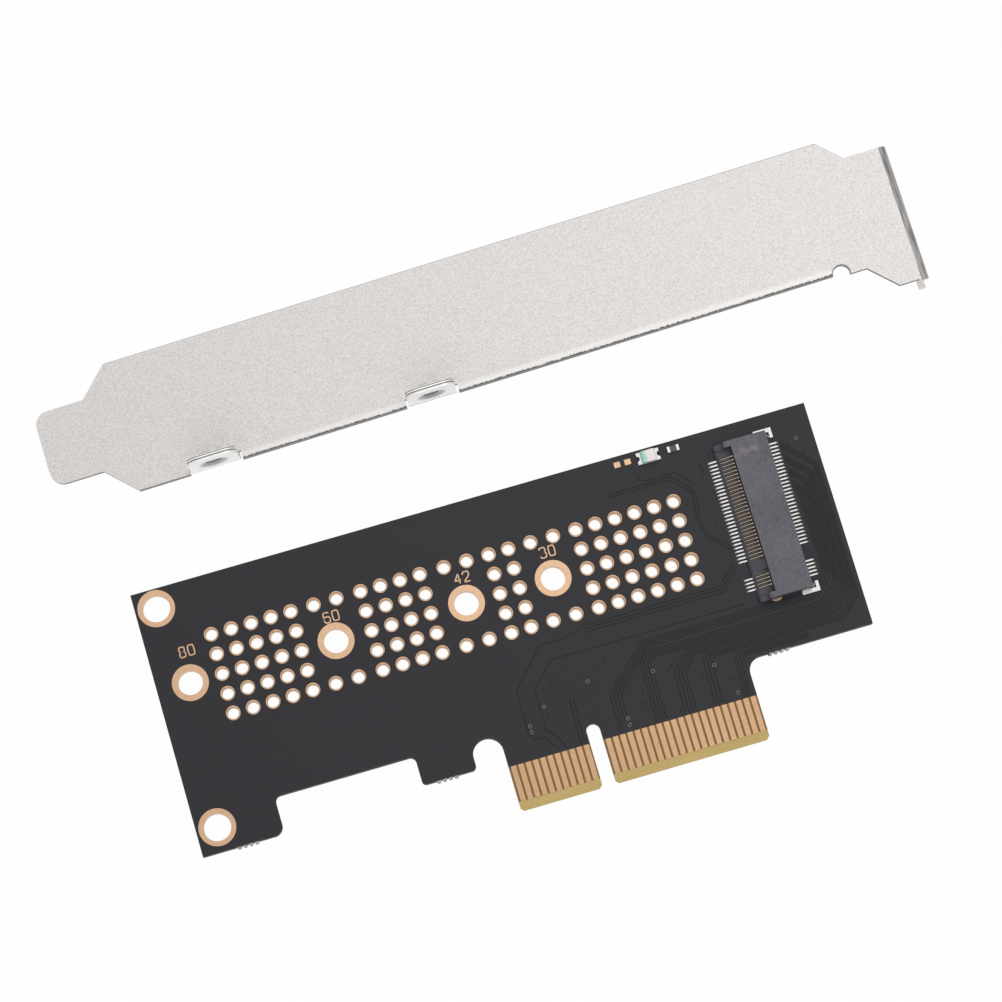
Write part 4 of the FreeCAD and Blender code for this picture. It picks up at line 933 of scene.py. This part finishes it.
def thread_shape(radius, depth, pitch, cut, start):
    """Thread ridge in a tapped hole: a triangle carried along a helix about Y, at the radius less the cut
    on its crest, rising by one pitch a turn. The cut fades out over the run-out angle at both ends."""
    steps_per_turn, run_out, sunk = 28, 1.2, 0.02
    turns = depth / pitch
    angle = np.linspace(0.0, 2.0 * math.pi * turns, int(steps_per_turn * turns) + 1)[:, None]
    fade = np.clip(np.minimum(angle, angle[-1] - angle) / run_out, 0.02, 1.0)
    profile = np.array([(sunk, -0.42 * pitch), (sunk, 0.42 * pitch), (-cut, 0.0)])
    ring = radius + np.where(profile[None, :, 0] < 0, profile[None, :, 0] * fade, profile[None, :, 0])
    lift = start + profile[None, :, 1] * 0.9 + pitch * angle / (2.0 * math.pi)
    points = np.stack([ring * np.cos(angle), lift, ring * np.sin(angle)], axis=-1).reshape(-1, 3)
    faces = grid_faces(len(angle), 3, wrap_columns=True).tolist()
    last = (len(angle) - 1) * 3
    return points, faces + [[0, 1, 2], [last + 2, last + 1, last]]


def bracket_frame():
    """From the bracket's own frame to the card's, in millimetres."""
    turn = Matrix.Rotation(BRACKET_TURN, 4, "Z") @ Matrix.Rotation(-BRACKET_LEAN, 4, "Y")
    return np.array(Matrix.Translation(BRACKET_CORNER) @ turn)


# ---------------------------------------------------------------- operators

class SetStage(bpy.types.Operator):
    """Table, sky, lamps and camera"""
    bl_idname = "adapter_card.stage"
    bl_label = "Set the stage"

    def execute(self, context):
        stage = context.scene.card_stage
        mesh = bpy.data.meshes.new("table")
        mesh.from_pydata([(across * TABLE_REACH, along * TABLE_REACH, TABLE_LEVEL)
                          for across, along in ((-1, -1), (1, -1), (1, 1), (-1, 1))], [], [(0, 1, 2, 3)])
        table = bpy.data.objects.new("table", mesh)
        context.scene.collection.objects.link(table)
        mesh.materials.append(material_named("pale_table", table_material, stage))
        self.add_sky(context, stage)
        for name, place, width, power in LAMPS:
            self.add_lamp(context, name, place, width, getattr(stage, power))
        self.add_camera(context, stage)
        context.scene.view_settings.view_transform = "Standard"
        return {"FINISHED"}

    def add_sky(self, context, stage):
        """Light from all round at the sky's strength, seen by the camera as plain white."""
        world = bpy.data.worlds.new("soft_sky")
        context.scene.world = world
        world.use_nodes = True
        tree = world.node_tree
        tree.nodes.clear()
        light = tree.nodes.new("ShaderNodeBackground")
        light.inputs["Strength"].default_value = stage.sky
        white = tree.nodes.new("ShaderNodeBackground")
        white.inputs["Strength"].default_value = 1.0
        for node in (light, white):
            node.inputs["Color"].default_value = (1.0, 1.0, 1.0, 1.0)
        mix = tree.nodes.new("ShaderNodeMixShader")
        out = tree.nodes.new("ShaderNodeOutputWorld")
        feed(tree, mix.inputs[0], tree.nodes.new("ShaderNodeLightPath").outputs["Is Camera Ray"])
        feed(tree, mix.inputs[1], light.outputs[0])
        feed(tree, mix.inputs[2], white.outputs[0])
        feed(tree, out.inputs[0], mix.outputs[0])

    def add_lamp(self, context, name, place, width, power):
        """A square soft lamp aimed at the middle of the object."""
        data = bpy.data.lights.new(name, "AREA")
        data.size = width
        data.energy = power
        lamp = bpy.data.objects.new(name, data)
        context.scene.collection.objects.link(lamp)
        low, high = (Vector(corner) for corner in CAD_BOX)
        lamp.location = place
        lamp.rotation_euler = ((low + high) / 2 - Vector(place)).to_track_quat("-Z", "Y").to_euler()

    def add_camera(self, context, stage):
        """Looks down over the contact edge, rolled so that the card's long edge climbs to the right."""
        ahead = Vector(CAMERA_AHEAD).normalized()
        right = ahead.cross(Vector(CAMERA_UP)).normalized()
        up = right.cross(ahead)
        data = bpy.data.cameras.new("camera")
        data.lens = stage.focal
        data.sensor_width = 36.0
        data.clip_start = 0.01
        camera = bpy.data.objects.new("camera", data)
        context.scene.collection.objects.link(camera)
        turn = Matrix((right, up, -ahead)).transposed().to_4x4()
        camera.matrix_world = Matrix.Translation(Vector(CAMERA_PLACE) * MM) @ turn
        context.scene.camera = camera


class FinishBoard(bpy.types.Operator):
    """Solder mask, laminate and cut edges of the circuit board"""
    bl_idname = "adapter_card.board"
    bl_label = "Finish the board"

    def execute(self, context):
        finish = context.scene.card_board
        finish_nodes(material_named("board_laminate_and_mask", board_material, finish), "circuit_board")
        return {"FINISHED"}


class AddVentRings(bpy.types.Operator):
    """Gold lands and plated barrels of the ventilation holes"""
    bl_idname = "adapter_card.vent_rings"
    bl_label = "Add vent rings"

    def execute(self, context):
        points, faces = repeat_shape(*ring_shape(), vent_places())
        make_piece("vent_rings", points, faces, land_gold(context.scene.card_board))
        return {"FINISHED"}


class AddRuns(bpy.types.Operator):
    """Covered copper runs and the small vias among them"""
    bl_idname = "adapter_card.runs"
    bl_label = "Add copper runs and vias"

    def execute(self, context):
        finish = context.scene.card_board
        varnish = material_named("mask_over_runs", mask_material, finish)
        width, top = finish.run_width / MM, BOARD_TOP + finish.copper_rise / MM
        shapes = [raised_strip(path, width, BOARD_TOP, top) for path in run_paths()]
        via_top = BOARD_TOP + VIA_RISE
        shapes += [disc_shape(VIA_RADIUS, via_top, place) for place in COVERED_VIAS + OPEN_VIAS]
        points, faces = join_shapes(shapes)
        make_piece("copper_runs", points, faces, varnish, smooth=False)
        rim = material_named("via_rims", plain_metal, finish.via, roughness=0.4, metallic=0.7, scale=3000.0,
                             contrast=0.8, relief=0.002)
        points, faces = repeat_shape(*via_rim_shape(), [(x, y, 0.0) for x, y in OPEN_VIAS])
        make_piece("via_rims", points, faces, rim)
        return {"FINISHED"}


class FinishGold(bpy.types.Operator):
    """Edge contacts, hole lands and bare pads"""
    bl_idname = "adapter_card.gold"
    bl_label = "Finish the gold"

    def execute(self, context):
        finish = context.scene.card_board
        finish_nodes(land_gold(finish), "standoff_hole_plating", "bracket_hole_plating", "peg_hole_plating",
                     "empty_pads")
        contact = material_named("contact_gold", gold_material, finish.contact, roughness=0.30)
        finish_nodes(contact, "contacts_short_top", "contacts_short_under", "contacts_long_top",
                     "contacts_long_under")
        return {"FINISHED"}


class AddNumbers(bpy.types.Operator):
    """Drive length numbers beside the stand-off holes"""
    bl_idname = "adapter_card.numbers"
    bl_label = "Add drive length numbers"

    def execute(self, context):
        finish = context.scene.card_board
        points, faces = join_shapes(number_shapes(finish.number_height / MM, finish.print_width / MM))
        make_piece("drive_length_numbers", points, faces, land_gold(finish), smooth=False)
        return {"FINISHED"}


class FinishSocket(bpy.types.Operator):
    """Drive socket: moulding, contacts, hold-downs and the solder at its feet"""
    bl_idname = "adapter_card.socket"
    bl_label = "Finish the socket"

    def execute(self, context):
        finish = context.scene.card_socket
        solder = solder_metal(finish)
        finish_nodes(material_named("socket_moulding", moulding_material, finish), "socket_housing")
        finish_nodes(solder, "socket_pins_rear_long", "socket_pins_rear_short", "hold_down_far",
                     "hold_down_near")
        strip = material_named("contact_strip", contact_strip_material, finish)
        finish_nodes(strip, "socket_pins_front_long", "socket_pins_front_short")
        points, faces = join_shapes(socket_solder())
        make_piece("foot_solder", points, faces, solder)
        return {"FINISHED"}


class FinishLamp(bpy.types.Operator):
    """Lamp and resistor beside the socket"""
    bl_idname = "adapter_card.lamp"
    bl_label = "Finish the lamp and resistor"

    def execute(self, context):
        finish = context.scene.card_socket
        finish_nodes(solder_metal(finish), "lamp_terminals", "resistor_end_caps")
        finish_nodes(material_named("lamp_carrier", ceramic_material, CARRIER_COLOUR), "lamp_base")
        finish_nodes(material_named("lamp_lens", lens_material, finish), "lamp_lens")
        finish_nodes(material_named("resistor_glaze", ceramic_material, GLAZE_COLOUR), "resistor_chip")
        return {"FINISHED"}


class FinishBracket(bpy.types.Operator):
    """Zinc-coated sheet of the slot bracket and the threads in its tabs"""
    bl_idname = "adapter_card.bracket"
    bl_label = "Finish the bracket"

    def execute(self, context):
        finish = context.scene.card_bracket
        sheet = material_named("coated_sheet", sheet_material, finish)
        finish_nodes(sheet, "slot_bracket")
        place = bracket_frame()
        shapes = []
        for across in TAB_HOLES:
            points, faces = thread_shape(**TAB_THREAD)
            points = points + np.array([across, 0.0, TAB_HOLE_HEIGHT])
            shapes.append((points @ place[:3, :3].T + place[:3, 3], faces))
        points, faces = join_shapes(shapes)
        make_piece("tab_threads", points, faces, sheet)
        return {"FINISHED"}


# ---------------------------------------------------------------- panel and start

class CardPanel(bpy.types.Panel):
    """Lists the steps that dress the card"""
    bl_idname = "VIEW3D_PT_adapter_card"
    bl_label = "Adapter card"
    bl_space_type = "VIEW_3D"
    bl_region_type = "UI"
    bl_category = "Adapter card"

    def draw(self, context):
        for step in STEPS:
            self.layout.operator(step.bl_idname)
        for label in PROPERTY_GROUPS:
            box = self.layout.box()
            settings = getattr(context.scene, label)
            for setting in settings.__annotations__:
                box.prop(settings, setting)


STEPS = [SetStage, FinishBoard, AddVentRings, AddRuns, FinishGold, AddNumbers, FinishSocket, FinishLamp,
         FinishBracket]
PROPERTY_GROUPS = {"card_board": BoardFinish, "card_socket": SocketFinish, "card_bracket": BracketFinish,
                   "card_stage": StageSettings}
CLASSES = [*PROPERTY_GROUPS.values(), *STEPS, CardPanel]


def register():
    for item in CLASSES:
        bpy.utils.register_class(item)
    for label, group in PROPERTY_GROUPS.items():
        setattr(bpy.types.Scene, label, bpy.props.PointerProperty(type=group))


def unregister():
    for label in PROPERTY_GROUPS:
        delattr(bpy.types.Scene, label)
    for item in reversed(CLASSES):
        bpy.utils.unregister_class(item)


def main():
    register()
    bpy.ops.adapter_card.stage()
    bpy.ops.adapter_card.board()
    bpy.ops.adapter_card.vent_rings()
    bpy.ops.adapter_card.runs()
    bpy.ops.adapter_card.gold()
    bpy.ops.adapter_card.numbers()
    bpy.ops.adapter_card.socket()
    bpy.ops.adapter_card.lamp()
    bpy.ops.adapter_card.bracket()


if __name__ == "__main__":
    main()
